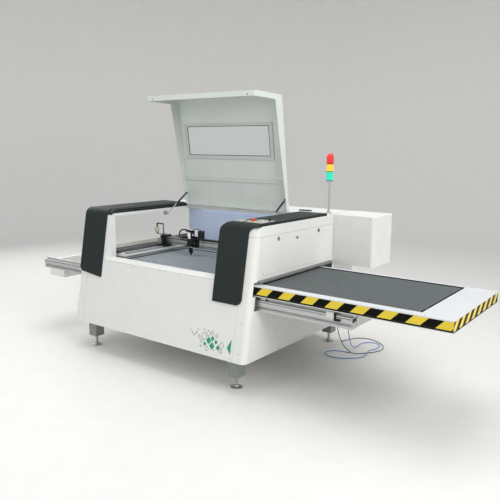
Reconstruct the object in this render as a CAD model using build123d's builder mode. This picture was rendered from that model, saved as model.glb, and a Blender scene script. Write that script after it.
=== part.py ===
"""Carbon dioxide laser cutting machine with two coupled exchange tables.

Lengths are in millimetres. X runs along the machine to the operator's right,
Y runs away from the operator and Z is up. The origin is on the floor, under
the middle of the whole machine. The lid stands open and the right table out.
"""
import os
from math import asin, cos, pi, radians, sin, tan

from build123d import *

os.makedirs("parts", exist_ok=True)

# Cabinet
body_width = 2075.0
body_depth = 1574.0
body_top = 1316.0
body_bottom = 256.0
front_lean = 10.0
sheet = 2.0
side_fold = 122.0
corner_radius = 45.0
shoulder_radius = 65.0
panel_gap = 0.5

# Front panel, whose top is level with the tables
panel_ledge_rise = 27.0
panel_ledge_slope = 42.0
panel_ledge_width = 44.0
panel_ledge_return = 18.0

# Arms beside the lid
left_arm_width = 365.0
right_arm_width = 378.0
arm_beam_height = 46.0
arm_column_depth = 45.0
right_wall_height = 101.0

# Dark arm covers, with lower edges measured down from the front panel's top
cover_proud = 12.0
strip_height = 22.0
cover_left_margin = 10.0
cover_left_width = 312.0
cover_left_bottom = 161.0
cover_left_chamfer = 64.0
cover_right_margin = 90.0
cover_right_bottom = 165.0
cover_corner_radius = 50.0
cover_top_radius = 62.0
strip_right_width = 283.0
strip_back = 1042.0

# Exchange tables
bay_centre = 1100.0
bed_length = 1300.0
bed_depth = 900.0
bed_front = 23.0
margin_outer = 234.0
margin_inner = 59.0
margin_front = 76.0
margin_back = 35.0
table_top = 866.0
table_height = 84.0
table_sheet = 3.0
tape_low = 2.0
tape_width = 75.0
tape_relief = 1.0
bed_recess = 5.0
bed_thickness = 20.0
bed_rim = 14.0
bed_plate = 3.0
bed_fit = 0.3
ledge_width = 12.0
channel_width = 76.0
channel_height = 46.0
exchange_travel = 1629.0

# Exchange rails, measured down from the tables' top, and the trucks on them
rail_length = 3592.0
rail_front = -17.0
rail_width = 80.0
rail_bottom = 206.0
rail_height = 86.0
rail_groove_depth = 12.0
rail_groove_height = 30.0
rail_groove_low = 12.0
rail_cavity_wall = 7.0
guide_width = 20.0
guide_height = 17.0
truck_length = 66.0
truck_width = 60.0
truck_offset_inner = 60.0
truck_offset_outer = 666.0
running_gap = 0.3
brace_length = 60.0
brace_height = 70.0
cross_tube_width = 223.0
cross_tube_height = 71.0
cross_tube_from_end = 98.0
tube_wall = 4.0

# Slots in the two sides, whose top is measured up from the tables' top
slot_top = 20.0
slot_behind_front = 56.0
table_slot_behind_front = 22.0
table_slot_below = 4.0
slot_back = 1165.0
seal_height = 28.0
seal_depth = 22.0
seal_front = -14.0
seal_back = 1130.0
seal_lap = 17.0

# Service panel on the right side, from a height above the slot, with latches and a lock above its
# middle line, and the same opening left bare on the left
service_front = 36.0
service_back = 1166.0
service_bottom = 39.0
service_top = 1233.0
service_flange = 16.0
left_opening_back = 1480.0
latch_places = (261.0, 893.0)
latch_height = 121.0
lock_place = 543.0
lock_height = 99.0
latch_radius = 8.0
latch_grip = 34.0
latch_reach = 44.0

# Frame, legs and feet, with the posts' top measured down from the rails
leg_size = 100.0
leg_bottom = 100.0
leg_inset = 168.0
leg_behind_front = 127.0
post_top = 80.0
frame_beam = 60.0
frame_wall = 4.0
foot_radius = 42.0
foot_stem_radius = 10.0
foot_hole_gap = 0.3
foot_nut = 15.0
bracket_thickness = 8.0
bracket_plate = 5.0

# Lid
lid_side_gap = 4.0
lid_right_gap = 42.0
lid_front = -12.0
lid_top = 1315.0
lid_hinge_y = 1068.0
lid_hinge_z = 1320.0
lid_back_gap = 6.0
lid_drop = 411.0
lid_sheet = 2.0
lid_bend = 16.0
lid_flange_front = 48.0
lid_flange_deep = 110.0
lid_flange_back = 40.0
lid_open = 81.6
lid_rib_place = 281.0
lid_rib_width = 24.0
lid_rib_height = 12.0
window_left = 104.0
window_right = 163.0
window_place = 526.0
window_height = 289.0
bezel_left = 46.0
bezel_right = 39.0
bezel_low = 38.0
bezel_high = 24.0
pane_lap = 13.0
pane_thickness = 5.0
bezel_thickness = 4.0
hinge_inset = 140.0
hinge_radius = 7.0
pin_radius = 3.0
pin_clearance = 0.05
hinge_knuckle = 30.0

# Gas struts
strut_foot_y = 721.0
strut_foot_z = 1240.0
stud_back = 125.0
stud_down = 38.0
strut_offset = 12.0
strut_radius = 9.0
strut_rod_radius = 5.0
strut_length = 180.0
strut_eye_radius = 9.0
strut_eye_width = 18.0
strut_pin_radius = 4.0
strut_end = 12.0
strut_overlap = 15.0

# Rear deck, back wall and rear panel, with the grip hole measured from the right side
deck_front = 1084.0
deck_apron = 46.0
wall_place = 1098.0
wall_left = 340.0
wall_bottom = 888.0
collar_radius = 75.0
collar_length = 50.0
collar_wall = 2.0
collar_places = (520.0, 520.0)
collar_height = 480.0
louvre_length = 90.0
louvre_height = 7.0
louvre_pitch = 22.0
grip_hole_x = 370.0
grip_hole_y = 1270.0
grip_hole_length = 110.0
grip_hole_width = 28.0

# Tube housing at the rear right, and the laser tube, at a height above the gantry's underside
housing_length = 402.0
housing_front = 1172.0
housing_bottom = 862.0
housing_top = 1322.0
housing_radius = 28.0
laser_radius = 40.0
laser_length = 1650.0
laser_end = 45.0
beam_height = 128.0
laser_y = 1340.0
cradle_width = 26.0
cradle_wall = 10.0
beam_lane = 310.0

# Signal light, measured from the right side
light_x = 73.0
light_y = 1200.0
pole_radius = 11.0
pole_top = 1623.0
lens_radius = 32.5
green_height = 83.0
amber_height = 69.0
red_height = 77.0
dome_height = 22.0

# Control console on the right arm, measured from the right side
console_left = 310.0
console_right = 25.0
console_front = 62.0
console_back = 290.0
console_height = 20.0
estop_x = 142.0
estop_y = 116.0
estop_radius = 20.0
estop_travel = 5.0
estop_stem = 8.0
button_x = 100.0
button_y = 190.0
button_radius = 11.0
button_travel = 3.0
key_x = 53.0
key_y = 214.0
key_radius = 12.0
stem_clearance = 0.05

# Long beams that carry the gantry, above the tables' top, with inner edges measured from each side
y_beam_width = 160.0
y_beam_height = 20.0
y_beam_bottom = 22.0
y_beam_inner = (450.0, 325.0)
y_beam_front = 74.0
y_beam_back = 1090.0
y_rail_width = 20.0
y_rail_height = 12.0
y_rail_from_inner = 40.0
dust_cover_width = 73.5
dust_cover_height = 25.0

# Gantry, at a height above the long beams; its trucks' top is measured from its underside and its
# mirror's plate from the laser beam
gantry_y = 650.0
gantry_depth = 50.0
gantry_bottom = 42.0
gantry_height = 64.0
gantry_wall = 4.0
gantry_truck_width = 60.0
gantry_truck_back = 719.0
gantry_truck_front = 619.0
gantry_truck_top = 81.0
x_rail_height = 12.0
x_rail_depth = 10.0
motor_size = 56.0
motor_front = 573.0
mirror_plate_left = 20.0
mirror_plate_right = 80.0
mirror_plate_top = 68.0

# Laser head, with its plate's top above the laser beam and its nozzle above the tables' top
head_x = 835.0
head_plate_width = 150.0
head_plate_top = 45.0
head_plate_thickness = 12.0
carriage_width = 120.0
carriage_height = 52.0
nozzle_y = 580.0
nozzle_tip = 10.0
lens_tube_radius = 18.0
lens_collar = 5.0
barrel_radius = 27.0
mirror_box = 60.0
head_box = 46.0
skirt_width = 104.0
skirt_height = 80.0
skirt_depth = 20.0
converter_width = 56.0

# Hose and cable that hang from a row under the rear rail, in X from the right side
hose_radius = 4.0
cable_radius = 3.5
gland_radius = 9.0
gland_length = 18.0
hose_leaves = (315.0, 0.0)
cable_leaves = (220.0, 0.0)
cord_row_offset = 2.0

# Places worked out from the sizes above, from the cabinet's left side and front line
lean = tan(radians(front_lean))
lean_cos = cos(radians(front_lean))
lean_sin = sin(radians(front_lean))
x_low = bay_centre - rail_length / 2
x_high = bay_centre + exchange_travel + bed_length / 2 + margin_outer
y_low = -lean * (body_top - body_bottom)
y_high = body_depth + collar_length
left = -(x_low + x_high) / 2
front = -(y_low + y_high) / 2
right = left + body_width
back = front + body_depth
bay = left + bay_centre
arm_left = left + left_arm_width
arm_right = right - right_arm_width
table_front = front + bed_front - margin_front
table_back = front + bed_front + bed_depth + margin_back
table_bottom = table_top - table_height
panel_top = table_top
left_cover_z = panel_top - cover_left_bottom
right_cover_z = panel_top - cover_right_bottom
rail_low = table_top - rail_bottom
slot_high = table_top + slot_top
service_low = slot_high + service_bottom
service_mid = (service_low + service_top) / 2
post_high = rail_low - post_top
y_beam_low = table_top + y_beam_bottom
gantry_low = y_beam_low + y_beam_height + gantry_bottom
truck_top = gantry_low + gantry_truck_top
beam_z = gantry_low + beam_height
mirror_top = beam_z + mirror_plate_top
plate_top = beam_z + head_plate_top
nozzle_low = table_top + nozzle_tip
rail_top = rail_low + rail_height
guide_top = rail_top + guide_height
leg_x = (left + leg_inset, right - leg_inset)
leg_y = (front + y_low + leg_behind_front, back - leg_behind_front)
rail_y = (front + rail_front, table_front + table_back - front - rail_front - rail_width)
cord_row = rail_y[1] + rail_width / 2 + cord_row_offset
latch_z = service_mid + latch_height
lock_z = service_mid + lock_height
console_x = (right - console_left, right - console_right)
estop_at = (right - estop_x, front + estop_y)
button_at = (right - button_x, front + button_y)
key_at = (right - key_x, front + key_y)
deck_top = body_top + sheet
strip_top = body_top + strip_height
hinge = (front + lid_hinge_y, lid_hinge_z)
hinge_axis = Axis((0, hinge[0], hinge[1]), (1, 0, 0))
lid_left = arm_left + lid_side_gap
lid_right = arm_right - lid_right_gap


def front_face(z, inset=0.0):
    """Y of the leaning front at a height, moved square into the cabinet by inset."""
    return front - lean * (body_top - z) + inset / lean_cos


def block(x, y, z, mode=Mode.ADD):
    """Box between a low and a high value along X, Y and Z."""
    with Locations(((x[0] + x[1]) / 2, (y[0] + y[1]) / 2, (z[0] + z[1]) / 2)):
        Box(x[1] - x[0], y[1] - y[0], z[1] - z[0], mode=mode)


def cabinet_form(x, inset, back_y, bottom, round_left=0.0, round_right=0.0):
    """Solid under the cabinet's leaning front and rounded shoulder, between two X values."""
    top = body_top - inset
    foot = front_face(bottom, inset)
    with BuildPart() as form:
        with BuildSketch(Plane.YZ.offset(x[0])) as side:
            with BuildLine():
                Polyline(
                    (foot, bottom), (front_face(top, inset), top), (back_y, top), (back_y, bottom),
                    close=True,
                )
            make_face()
            fillet(side.vertices().sort_by(Axis.Y)[-2:].sort_by(Axis.X)[0], shoulder_radius - inset)
        extrude(amount=x[1] - x[0])
        if round_left or round_right:
            reach = x[0] if round_left else x[0] - sheet
            end = x[1] if round_right else x[1] + sheet
            with BuildSketch(Plane.XY.offset(bottom)) as plan:
                with Locations(((reach + end) / 2, (foot + back_y) / 2 + body_depth / 2)):
                    Rectangle(end - reach, back_y - foot + body_depth)
                corners = plan.vertices().group_by(Axis.Y)[0].sort_by(Axis.X)
                fillet(corners[-1] if round_right else corners[0], round_right or round_left)
            extrude(amount=body_top, dir=(0, lean, 1), mode=Mode.INTERSECT)
    return form.part


def side_opening(low, high, front_gap, back_y):
    """Outline of a side opening whose front edge leans with the cabinet's front."""
    Polyline(
        (front_face(low) + front_gap, low),
        (front_face(high) + front_gap, high),
        (back_y, high),
        (back_y, low),
        close=True,
    )


# Side skins, folded round the front corners
skin_back = body_depth + front + sheet
slot_low = table_bottom - table_slot_below
left_form = cabinet_form((left, left + side_fold), 0, back, body_bottom, round_left=corner_radius)
left_hollow = cabinet_form(
    (left + sheet, left + side_fold + sheet), sheet, skin_back, body_bottom - sheet,
    round_left=corner_radius - sheet,
)
with BuildPart() as left_side_skin:
    add(left_form)
    add(left_hollow, mode=Mode.SUBTRACT)
    with BuildSketch(Plane.YZ.offset(left - sheet)):
        with BuildLine():
            side_opening(rail_low, slot_high, slot_behind_front, front + slot_back)
        make_face()
    extrude(amount=3 * sheet, mode=Mode.SUBTRACT)
    with BuildSketch(Plane.YZ.offset(left - sheet)):
        with BuildLine():
            side_opening(slot_low, slot_high, table_slot_behind_front, front + slot_back)
        make_face()
    extrude(amount=8 * sheet, mode=Mode.SUBTRACT)
    block(
        (left - sheet, left + 2 * sheet), (front + service_front, front + left_opening_back),
        (service_low, service_top), Mode.SUBTRACT,
    )

right_form = cabinet_form((right - side_fold, right), 0, back, body_bottom, round_right=corner_radius)
right_hollow = cabinet_form(
    (right - side_fold - sheet, right - sheet), sheet, skin_back, body_bottom - sheet,
    round_right=corner_radius - sheet,
)
with BuildPart() as right_side_skin:
    add(right_form)
    add(right_hollow, mode=Mode.SUBTRACT)
    with BuildSketch(Plane.YZ.offset(right - 2 * sheet)):
        with BuildLine():
            side_opening(rail_low, slot_high, slot_behind_front, front + slot_back)
        make_face()
    extrude(amount=3 * sheet, mode=Mode.SUBTRACT)
    with BuildSketch(Plane.YZ.offset(right - 7 * sheet)):
        with BuildLine():
            side_opening(slot_low, slot_high, table_slot_behind_front, front + slot_back)
        make_face()
    extrude(amount=8 * sheet, mode=Mode.SUBTRACT)
    block(
        (right - 2 * sheet, right + sheet), (front + service_front, front + service_back),
        (service_low, service_top), Mode.SUBTRACT,
    )
    with BuildSketch(Plane.YZ.offset(right - 2 * sheet)):
        with Locations((front + laser_y, beam_z)):
            Circle(laser_radius * 1.6)
    extrude(amount=3 * sheet, mode=Mode.SUBTRACT)

# Front panel, with the folded ledge that the lid closes on
panel_left = left + side_fold + panel_gap
panel_right = right - side_fold - panel_gap
ledge_foot = front_face(panel_top)
ledge_top = panel_top + panel_ledge_rise
with BuildPart() as front_panel:
    with BuildSketch(Plane.YZ.offset(panel_left)):
        with BuildLine():
            Polyline(
                (front_face(body_bottom), body_bottom), (front_face(panel_top), panel_top),
                (front_face(panel_top, sheet), panel_top), (front_face(body_bottom, sheet), body_bottom),
                close=True,
            )
        make_face()
    extrude(amount=panel_right - panel_left)
    with BuildSketch(Plane.YZ.offset(arm_left + panel_gap)):
        with BuildLine():
            FilletPolyline(
                (ledge_foot, panel_top),
                (ledge_foot + panel_ledge_slope, ledge_top),
                (ledge_foot + panel_ledge_slope + panel_ledge_width, ledge_top),
                (ledge_foot + panel_ledge_slope + panel_ledge_width, ledge_top - panel_ledge_return),
                radius=5 * sheet,
            )
            offset(amount=sheet, side=Side.RIGHT)
        make_face()
    extrude(amount=arm_right - arm_left - 2 * panel_gap)

# Bracket plates that carry the long beams over the tables, in front of the tables and under the ledge
bracket_y = (table_front - bracket_thickness - 1.5 * sheet, front + y_beam_front + frame_beam / 2)
bracket_z = (table_top + sheet, table_top + sheet + bracket_plate)

# Left arm: front column and beam, open below the beam
left_arm_form = cabinet_form((panel_left, arm_left), 0, front + deck_front, panel_top + panel_gap)
left_arm_hollow = cabinet_form(
    (left + sheet, arm_left - sheet), sheet, front + deck_front + sheet, panel_top - sheet,
)
beam_bottom = body_top - arm_beam_height
column_back = front + arm_column_depth
with BuildPart() as left_arm:
    add(left_arm_form)
    add(left_arm_hollow, mode=Mode.SUBTRACT)
    block(
        (left, arm_left + sheet), (column_back, front + body_depth), (panel_top - sheet, beam_bottom),
        Mode.SUBTRACT,
    )
    block(
        (left + sheet, arm_left), (column_back - sheet, front + deck_front),
        (beam_bottom, beam_bottom + sheet),
    )
    block(
        (left + sheet, arm_left), (column_back - sheet, column_back),
        (panel_top + panel_gap, beam_bottom + sheet),
    )
    block(
        (left + side_fold, arm_left + sheet), (bracket_y[0], column_back + sheet),
        (panel_top - sheet, bracket_z[1] + sheet), Mode.SUBTRACT,
    )

# Right arm: closed front and top, with a short inner wall beside the lid
right_arm_form = cabinet_form((arm_right, panel_right), 0, front + wall_place, panel_top + panel_gap)
right_arm_hollow = cabinet_form(
    (arm_right + sheet, panel_right + sheet), sheet, front + wall_place + sheet, panel_top - sheet,
)
wall_low = body_top - right_wall_height
with BuildPart() as right_arm:
    add(right_arm_form)
    add(right_arm_hollow, mode=Mode.SUBTRACT)
    block(
        (arm_right - sheet, arm_right + sheet), (column_back, front + body_depth),
        (panel_top - sheet, wall_low), Mode.SUBTRACT,
    )

# Dark covers that wrap over the front of each arm
cover_outer_front = front_face(strip_top) - cover_proud / lean_cos


def cover_band(x, bottom):
    """Bent cover between two X values, from its lower edge over the shoulder to the strip's end."""
    with BuildPart() as band:
        with BuildSketch(Plane.YZ.offset(x[0])) as side:
            with BuildLine():
                Polyline(
                    (front_face(bottom), bottom), (front_face(body_top), body_top),
                    (front + strip_back, body_top), (front + strip_back, strip_top),
                    (cover_outer_front, strip_top), (front_face(bottom) - cover_proud / lean_cos, bottom),
                    close=True,
                )
            make_face()
            shoulders = side.vertices().sort_by_distance((front, body_top))
            fillet(shoulders[0], shoulder_radius)
            outer = side.vertices().sort_by_distance((cover_outer_front, strip_top))
            fillet(outer[0], shoulder_radius + cover_proud)
        extrude(amount=x[1] - x[0])
    return band.part


cover_low = left + cover_left_margin
cover_edge = left + cover_left_margin + cover_left_width
left_band = cover_band((cover_low, cover_edge), left_cover_z)
with BuildPart() as left_arm_cover:
    add(left_band)
    with BuildSketch(Plane.XZ.offset(-front)):
        with BuildLine():
            Polyline(
                (cover_low - sheet, left_cover_z - sheet),
                (cover_low - sheet, left_cover_z + cover_left_chamfer),
                (cover_low, left_cover_z + cover_left_chamfer),
                (cover_low + 0.6 * cover_left_chamfer, left_cover_z + 0.47 * cover_left_chamfer),
                (cover_edge, left_cover_z), (cover_edge, left_cover_z - sheet),
                close=True,
            )
        make_face()
    extrude(amount=body_depth, both=True, mode=Mode.SUBTRACT)
    fillet(left_arm_cover.edges().filter_by(Axis.Y).sort_by(Axis.Z)[-2:], 4 * sheet)

cheek_edge = right - cover_right_margin
right_band = cover_band((arm_right, right), right_cover_z)
with BuildPart() as right_arm_cover:
    add(right_band)
    with BuildSketch(Plane.XZ.offset(-front)) as cheek:
        with BuildLine():
            Polyline(
                (cheek_edge, right_cover_z - sheet), (cheek_edge, body_top), (right + sheet, body_top),
                (right + sheet, right_cover_z - sheet), close=True,
            )
        make_face()
        fillet(cheek.vertices().group_by(Axis.Y)[-1].sort_by(Axis.X)[0], cover_top_radius)
    extrude(amount=body_depth, both=True, mode=Mode.SUBTRACT)
    with BuildSketch(Plane.XZ.offset(-front)) as lower_corner:
        with Locations((cheek_edge - cover_corner_radius / 2, right_cover_z + cover_corner_radius / 2)):
            Rectangle(cover_corner_radius, cover_corner_radius)
        with Locations((cheek_edge - cover_corner_radius, right_cover_z + cover_corner_radius)):
            Circle(cover_corner_radius, mode=Mode.SUBTRACT)
    extrude(amount=body_depth, both=True, mode=Mode.SUBTRACT)
    upper = cover_top_radius + strip_height
    with BuildSketch(Plane.XZ.offset(-front)) as upper_corner:
        with Locations((arm_right + upper / 2, strip_top - upper / 2)):
            Rectangle(upper, upper)
        with Locations((arm_right + upper, strip_top - upper)):
            Circle(upper, mode=Mode.SUBTRACT)
    extrude(amount=body_depth, both=True, mode=Mode.SUBTRACT)
    block(
        (arm_right - sheet, console_x[1] + panel_gap),
        (front + console_front - panel_gap, front + console_back + panel_gap),
        (body_top - sheet, strip_top + sheet), Mode.SUBTRACT,
    )
    block(
        (arm_right - sheet, right - strip_right_width), (front + console_front, front + strip_back + sheet),
        (body_top - sheet, strip_top + sheet), Mode.SUBTRACT,
    )

# Rear deck with the apron behind the lid, back wall of the working bay and rear panel
with BuildPart() as rear_deck:
    block((left, right), (front + strip_back + panel_gap, back), (body_top, deck_top))
    block(
        (arm_left + panel_gap, arm_right - panel_gap), (front + strip_back, front + deck_front - sheet),
        (body_top - sheet, deck_top + sheet), Mode.SUBTRACT,
    )
    block(
        (arm_left + panel_gap, arm_right - panel_gap), (front + deck_front - sheet, front + deck_front),
        (body_top - deck_apron, body_top),
    )
    with BuildSketch(Plane.XY.offset(body_top - sheet)):
        with Locations((right - grip_hole_x, front + grip_hole_y)):
            SlotOverall(grip_hole_length, grip_hole_width)
    extrude(amount=3 * sheet, mode=Mode.SUBTRACT)

with BuildPart() as inner_back_wall:
    block(
        (left + wall_left, right - service_flange - sheet), (front + wall_place, front + wall_place + sheet),
        (wall_bottom, body_top - sheet),
    )

collar_row = (left + collar_places[0], right - collar_places[1])
with BuildPart() as rear_panel:
    block((left + sheet, right - sheet), (back - sheet, back), (body_bottom, body_top - sheet))
    with BuildSketch(Plane.XZ.offset(-back + sheet)):
        with Locations(*[(x, collar_height) for x in collar_row]):
            Circle(collar_radius)
    extrude(amount=-collar_length - sheet)
    with BuildSketch(Plane.XZ.offset(-back + 2 * sheet)):
        with Locations(*[(x, collar_height) for x in collar_row]):
            Circle(collar_radius - collar_wall)
        with Locations((left + body_width / 2, (body_top + housing_bottom) / 2)):
            with GridLocations(4 * louvre_length, louvre_pitch, 2, 8):
                SlotOverall(louvre_length, louvre_height)
    extrude(amount=-collar_length - 4 * sheet, mode=Mode.SUBTRACT)

with BuildPart() as bottom_pan:
    block(
        (left + sheet, right - sheet), (front_face(body_bottom, sheet) + sheet, back - sheet),
        (body_bottom + sheet, body_bottom + 2 * sheet),
    )
    fillet(bottom_pan.edges().filter_by(Axis.Z).group_by(Axis.Y)[0], corner_radius)
    with BuildSketch(Plane.XY.offset(body_bottom)):
        with Locations(*[(x, y) for x in leg_x for y in leg_y]):
            Rectangle(leg_size + 2 * panel_gap, leg_size + 2 * panel_gap)
    extrude(amount=3 * sheet, mode=Mode.SUBTRACT)

# Welded frame: legs that run up as posts, beams between them, and the gantry's supports
base_z = (body_bottom + 3 * sheet, body_bottom + 3 * sheet + frame_beam)
ring_z = (post_high - frame_beam, post_high)
support_z = (post_high, rail_low)
half = leg_size / 2
beam_ends = (leg_y[0] - half, leg_y[1] + half)
mid_x = (left + body_width / 2 - frame_beam / 2, left + body_width / 2 + frame_beam / 2)
y_beam_x = (
    (left + y_beam_inner[0] - y_beam_width, left + y_beam_inner[0]),
    (right - y_beam_inner[1], right - y_beam_inner[1] + y_beam_width),
)
with BuildPart() as base_frame:
    for x in leg_x:
        for y in leg_y:
            block((x - half, x + half), (y - half, y + half), (leg_bottom, post_high))
        block((x - half, x + half), beam_ends, support_z)
    for y in leg_y:
        for z in (base_z, ring_z):
            block((leg_x[0] + half, leg_x[1] - half), (y - frame_beam / 2, y + frame_beam / 2), z)
    for x in leg_x:
        block((x - frame_beam / 2, x + frame_beam / 2), (leg_y[0] + half, leg_y[1] - half), base_z)
    block(mid_x, (leg_y[0] + frame_beam / 2, leg_y[1] - frame_beam / 2), support_z)
    for x in y_beam_x:
        block(x, (bracket_y[0], bracket_y[0] + bracket_thickness), (post_high - frame_beam, bracket_z[1]))
        block(x, bracket_y, bracket_z)
        block(x, (front + y_beam_front, bracket_y[1]), (bracket_z[1], y_beam_low))
        block(
            (x[0], x[0] + frame_beam), (table_back + frame_beam, table_back + 2 * frame_beam),
            (post_high, y_beam_low),
        )
        block(
            (x[0], x[0] + frame_beam), (table_back + frame_beam, leg_y[1]), ring_z,
        )
    wall = frame_wall
    for x in leg_x:
        for y in leg_y:
            block(
                (x - half + wall, x + half - wall), (y - half + wall, y + half - wall),
                (leg_bottom + 2 * wall, rail_low - wall), Mode.SUBTRACT,
            )
            with Locations((x, y, leg_bottom)):
                Cylinder(foot_stem_radius + foot_hole_gap, 6 * wall, mode=Mode.SUBTRACT)
        block(
            (x - half + wall, x + half - wall), (beam_ends[0] - wall, beam_ends[1] + wall),
            (post_high + wall, rail_low - wall), Mode.SUBTRACT,
        )

foot_stem_top = leg_bottom + 40.0
with BuildPart() as levelling_feet:
    for x in leg_x:
        for y in leg_y:
            with BuildSketch(Plane(origin=(x, y, 0), x_dir=(1, 0, 0), z_dir=(0, -1, 0))):
                with BuildLine():
                    Polyline(
                        (0, 0), (foot_radius, 0), (foot_radius, 7), (foot_radius * 0.62, 13),
                        (foot_radius * 0.4, 24), (foot_stem_radius, 28), (foot_stem_radius, foot_stem_top),
                        (0, foot_stem_top), close=True,
                    )
                make_face()
            revolve(axis=Axis((x, y, 0), (0, 0, 1)))
            with BuildSketch(Plane.XY.offset(leg_bottom - foot_nut - running_gap)):
                with Locations((x, y)):
                    RegularPolygon(foot_stem_radius * 1.7, 6)
            extrude(amount=foot_nut)

# Tube housing, laser tube, its cradles and the first mirror
with BuildPart() as tube_box:
    block((right, right + housing_length), (front + housing_front, back), (housing_bottom, housing_top))
    outer_edges = tube_box.edges().filter_by(Axis.Z).group_by(Axis.X)[-1]
    fillet(outer_edges, housing_radius)
    fillet(tube_box.faces().sort_by(Axis.Z)[-1].edges().sort_by(Axis.X)[1:], 3 * sheet)
    offset(amount=-sheet, openings=tube_box.faces().sort_by(Axis.X)[0])

laser_centre = (front + laser_y, beam_z)
laser_left = right + housing_length - 2 * laser_end - laser_length
with BuildPart() as laser_tube:
    with BuildSketch(Plane.XZ.offset(-laser_centre[0])):
        with BuildLine():
            Polyline(
                (laser_left, beam_z), (laser_left, beam_z + laser_radius * 0.3),
                (laser_left + laser_end, beam_z + laser_radius * 0.3),
                (laser_left + laser_end + 12, beam_z + laser_radius),
                (laser_left + laser_length - laser_end - 12, beam_z + laser_radius),
                (laser_left + laser_length - laser_end, beam_z + laser_radius * 0.3),
                (laser_left + laser_length, beam_z + laser_radius * 0.3),
                (laser_left + laser_length, beam_z), close=True,
            )
        make_face()
    revolve(axis=Axis((0, laser_centre[0], beam_z), (1, 0, 0)))

cradle_x = (laser_left + laser_length * 0.2, right - 4 * cradle_width)
cradle_outer = laser_radius + running_gap + cradle_wall
cradle_foot = beam_z - cradle_outer + cradle_wall
with BuildPart() as tube_supports:
    for x in cradle_x:
        with BuildSketch(Plane.YZ.offset(x)):
            with Locations(laser_centre):
                Circle(cradle_outer)
            with Locations((front + (wall_place + sheet + laser_y) / 2, cradle_foot)):
                Rectangle(laser_y - wall_place - sheet, 2 * cradle_wall)
            with Locations(laser_centre):
                Circle(laser_radius + running_gap, mode=Mode.SUBTRACT)
        extrude(amount=cradle_width)

lane = left + beam_lane
with BuildPart() as first_mirror:
    block(
        (left + wall_left + sheet, left + wall_left + 10 * sheet),
        (front + wall_place + sheet, front + laser_y),
        (beam_z - mirror_box, beam_z - mirror_box + 10 * sheet),
    )
    block(
        (lane - mirror_box / 2, left + wall_left + 10 * sheet),
        (front + laser_y - mirror_box / 2, front + laser_y + mirror_box / 2),
        (beam_z - mirror_box, beam_z - mirror_box / 2),
    )
    with Locations(Location((lane, front + laser_y, beam_z), (0, 0, 45))):
        Box(mirror_box, 12, mirror_box)

# Signal light on its pole
light = (right - light_x, front + light_y)
pole_length = pole_top - deck_top
with BuildPart() as light_stem:
    with BuildSketch(Plane(origin=(light[0], light[1], deck_top), x_dir=(1, 0, 0), z_dir=(0, -1, 0))):
        with BuildLine():
            Polyline(
                (0, 0), (lens_radius, 0), (lens_radius, 5), (pole_radius + 6, 12), (pole_radius + 6, 26),
                (pole_radius, 28), (pole_radius, pole_length - 18), (lens_radius - 2, pole_length - 10),
                (lens_radius - 2, pole_length), (0, pole_length), close=True,
            )
        make_face()
    revolve(axis=Axis((light[0], light[1], 0), (0, 0, 1)))


def lens(bottom, height, dome=0.0):
    """Ribbed lens of the signal light, with a domed top on the last one."""
    groove = 2.0
    with BuildPart() as part:
        with BuildSketch(Plane(origin=(light[0], light[1], bottom), x_dir=(1, 0, 0), z_dir=(0, -1, 0))):
            with BuildLine():
                Polyline((0, height), (0, 0), (lens_radius - groove, 0), (lens_radius - groove, groove * 2),
                         (lens_radius, groove * 3), (lens_radius, height - groove * 3),
                         (lens_radius - groove, height - groove * 2), (lens_radius - groove, height))
                if dome:
                    cap = ((lens_radius - groove) ** 2 + dome ** 2) / (2 * dome)
                    half_turn = asin((lens_radius - groove) / cap) / 2
                    ThreePointArc(
                        (lens_radius - groove, height),
                        (cap * sin(half_turn), height + dome - cap * (1 - cos(half_turn))),
                        (0, height + dome),
                    )
                    Line((0, height + dome), (0, height))
                else:
                    Line((lens_radius - groove, height), (0, height))
            make_face()
        revolve(axis=Axis((light[0], light[1], 0), (0, 0, 1)))
    return part.part


green_part = lens(pole_top, green_height)
amber_part = lens(pole_top + green_height, amber_height)
red_part = lens(pole_top + green_height + amber_height, red_height, dome_height)
with BuildPart() as green_lens:
    add(green_part)
with BuildPart() as amber_lens:
    add(amber_part)
with BuildPart() as red_lens:
    add(red_part)

# Control console, emergency stop, start button and key switch
console_top = body_top + console_height
with BuildPart() as control_console:
    block(
        console_x, (front + console_front, front + console_back),
        (body_top, console_top),
    )
    fillet(control_console.faces().sort_by(Axis.Z)[-1].edges(), 2 * sheet)
    with Locations((*estop_at, console_top + 3)):
        Cylinder(estop_radius + 8, 6)
    with Locations((*button_at, console_top + 1.5)):
        Cylinder(button_radius + 4, 3)
    with Locations((*key_at, console_top + 1.5)):
        Cylinder(key_radius + 4, 3)
    with Locations((*estop_at, console_top)):
        Cylinder(estop_stem + stem_clearance, 30, mode=Mode.SUBTRACT)
    with Locations((*button_at, console_top)):
        Cylinder(button_radius + stem_clearance, 30, mode=Mode.SUBTRACT)
    with Locations((*key_at, console_top)):
        Cylinder(key_radius + stem_clearance, 30, mode=Mode.SUBTRACT)

cap_low = 6 + estop_travel + 2
with BuildPart() as estop_button:
    with BuildSketch(
        Plane(origin=(*estop_at, console_top), x_dir=(1, 0, 0), z_dir=(0, -1, 0))
    ):
        with BuildLine():
            Polyline(
                (0, -8), (estop_stem, -8), (estop_stem, cap_low), (estop_radius - 4, cap_low),
                (estop_radius, cap_low + 4), (estop_radius, cap_low + 11),
                (estop_radius - 5, cap_low + 16), (0, cap_low + 17), close=True,
            )
        make_face()
    revolve(axis=Axis((*estop_at, 0), (0, 0, 1)))

with BuildPart() as start_button:
    with Locations((*button_at, console_top)):
        Cylinder(button_radius, 2 * (button_travel + 4))
    fillet(start_button.faces().sort_by(Axis.Z)[-1].edges(), sheet)

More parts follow.
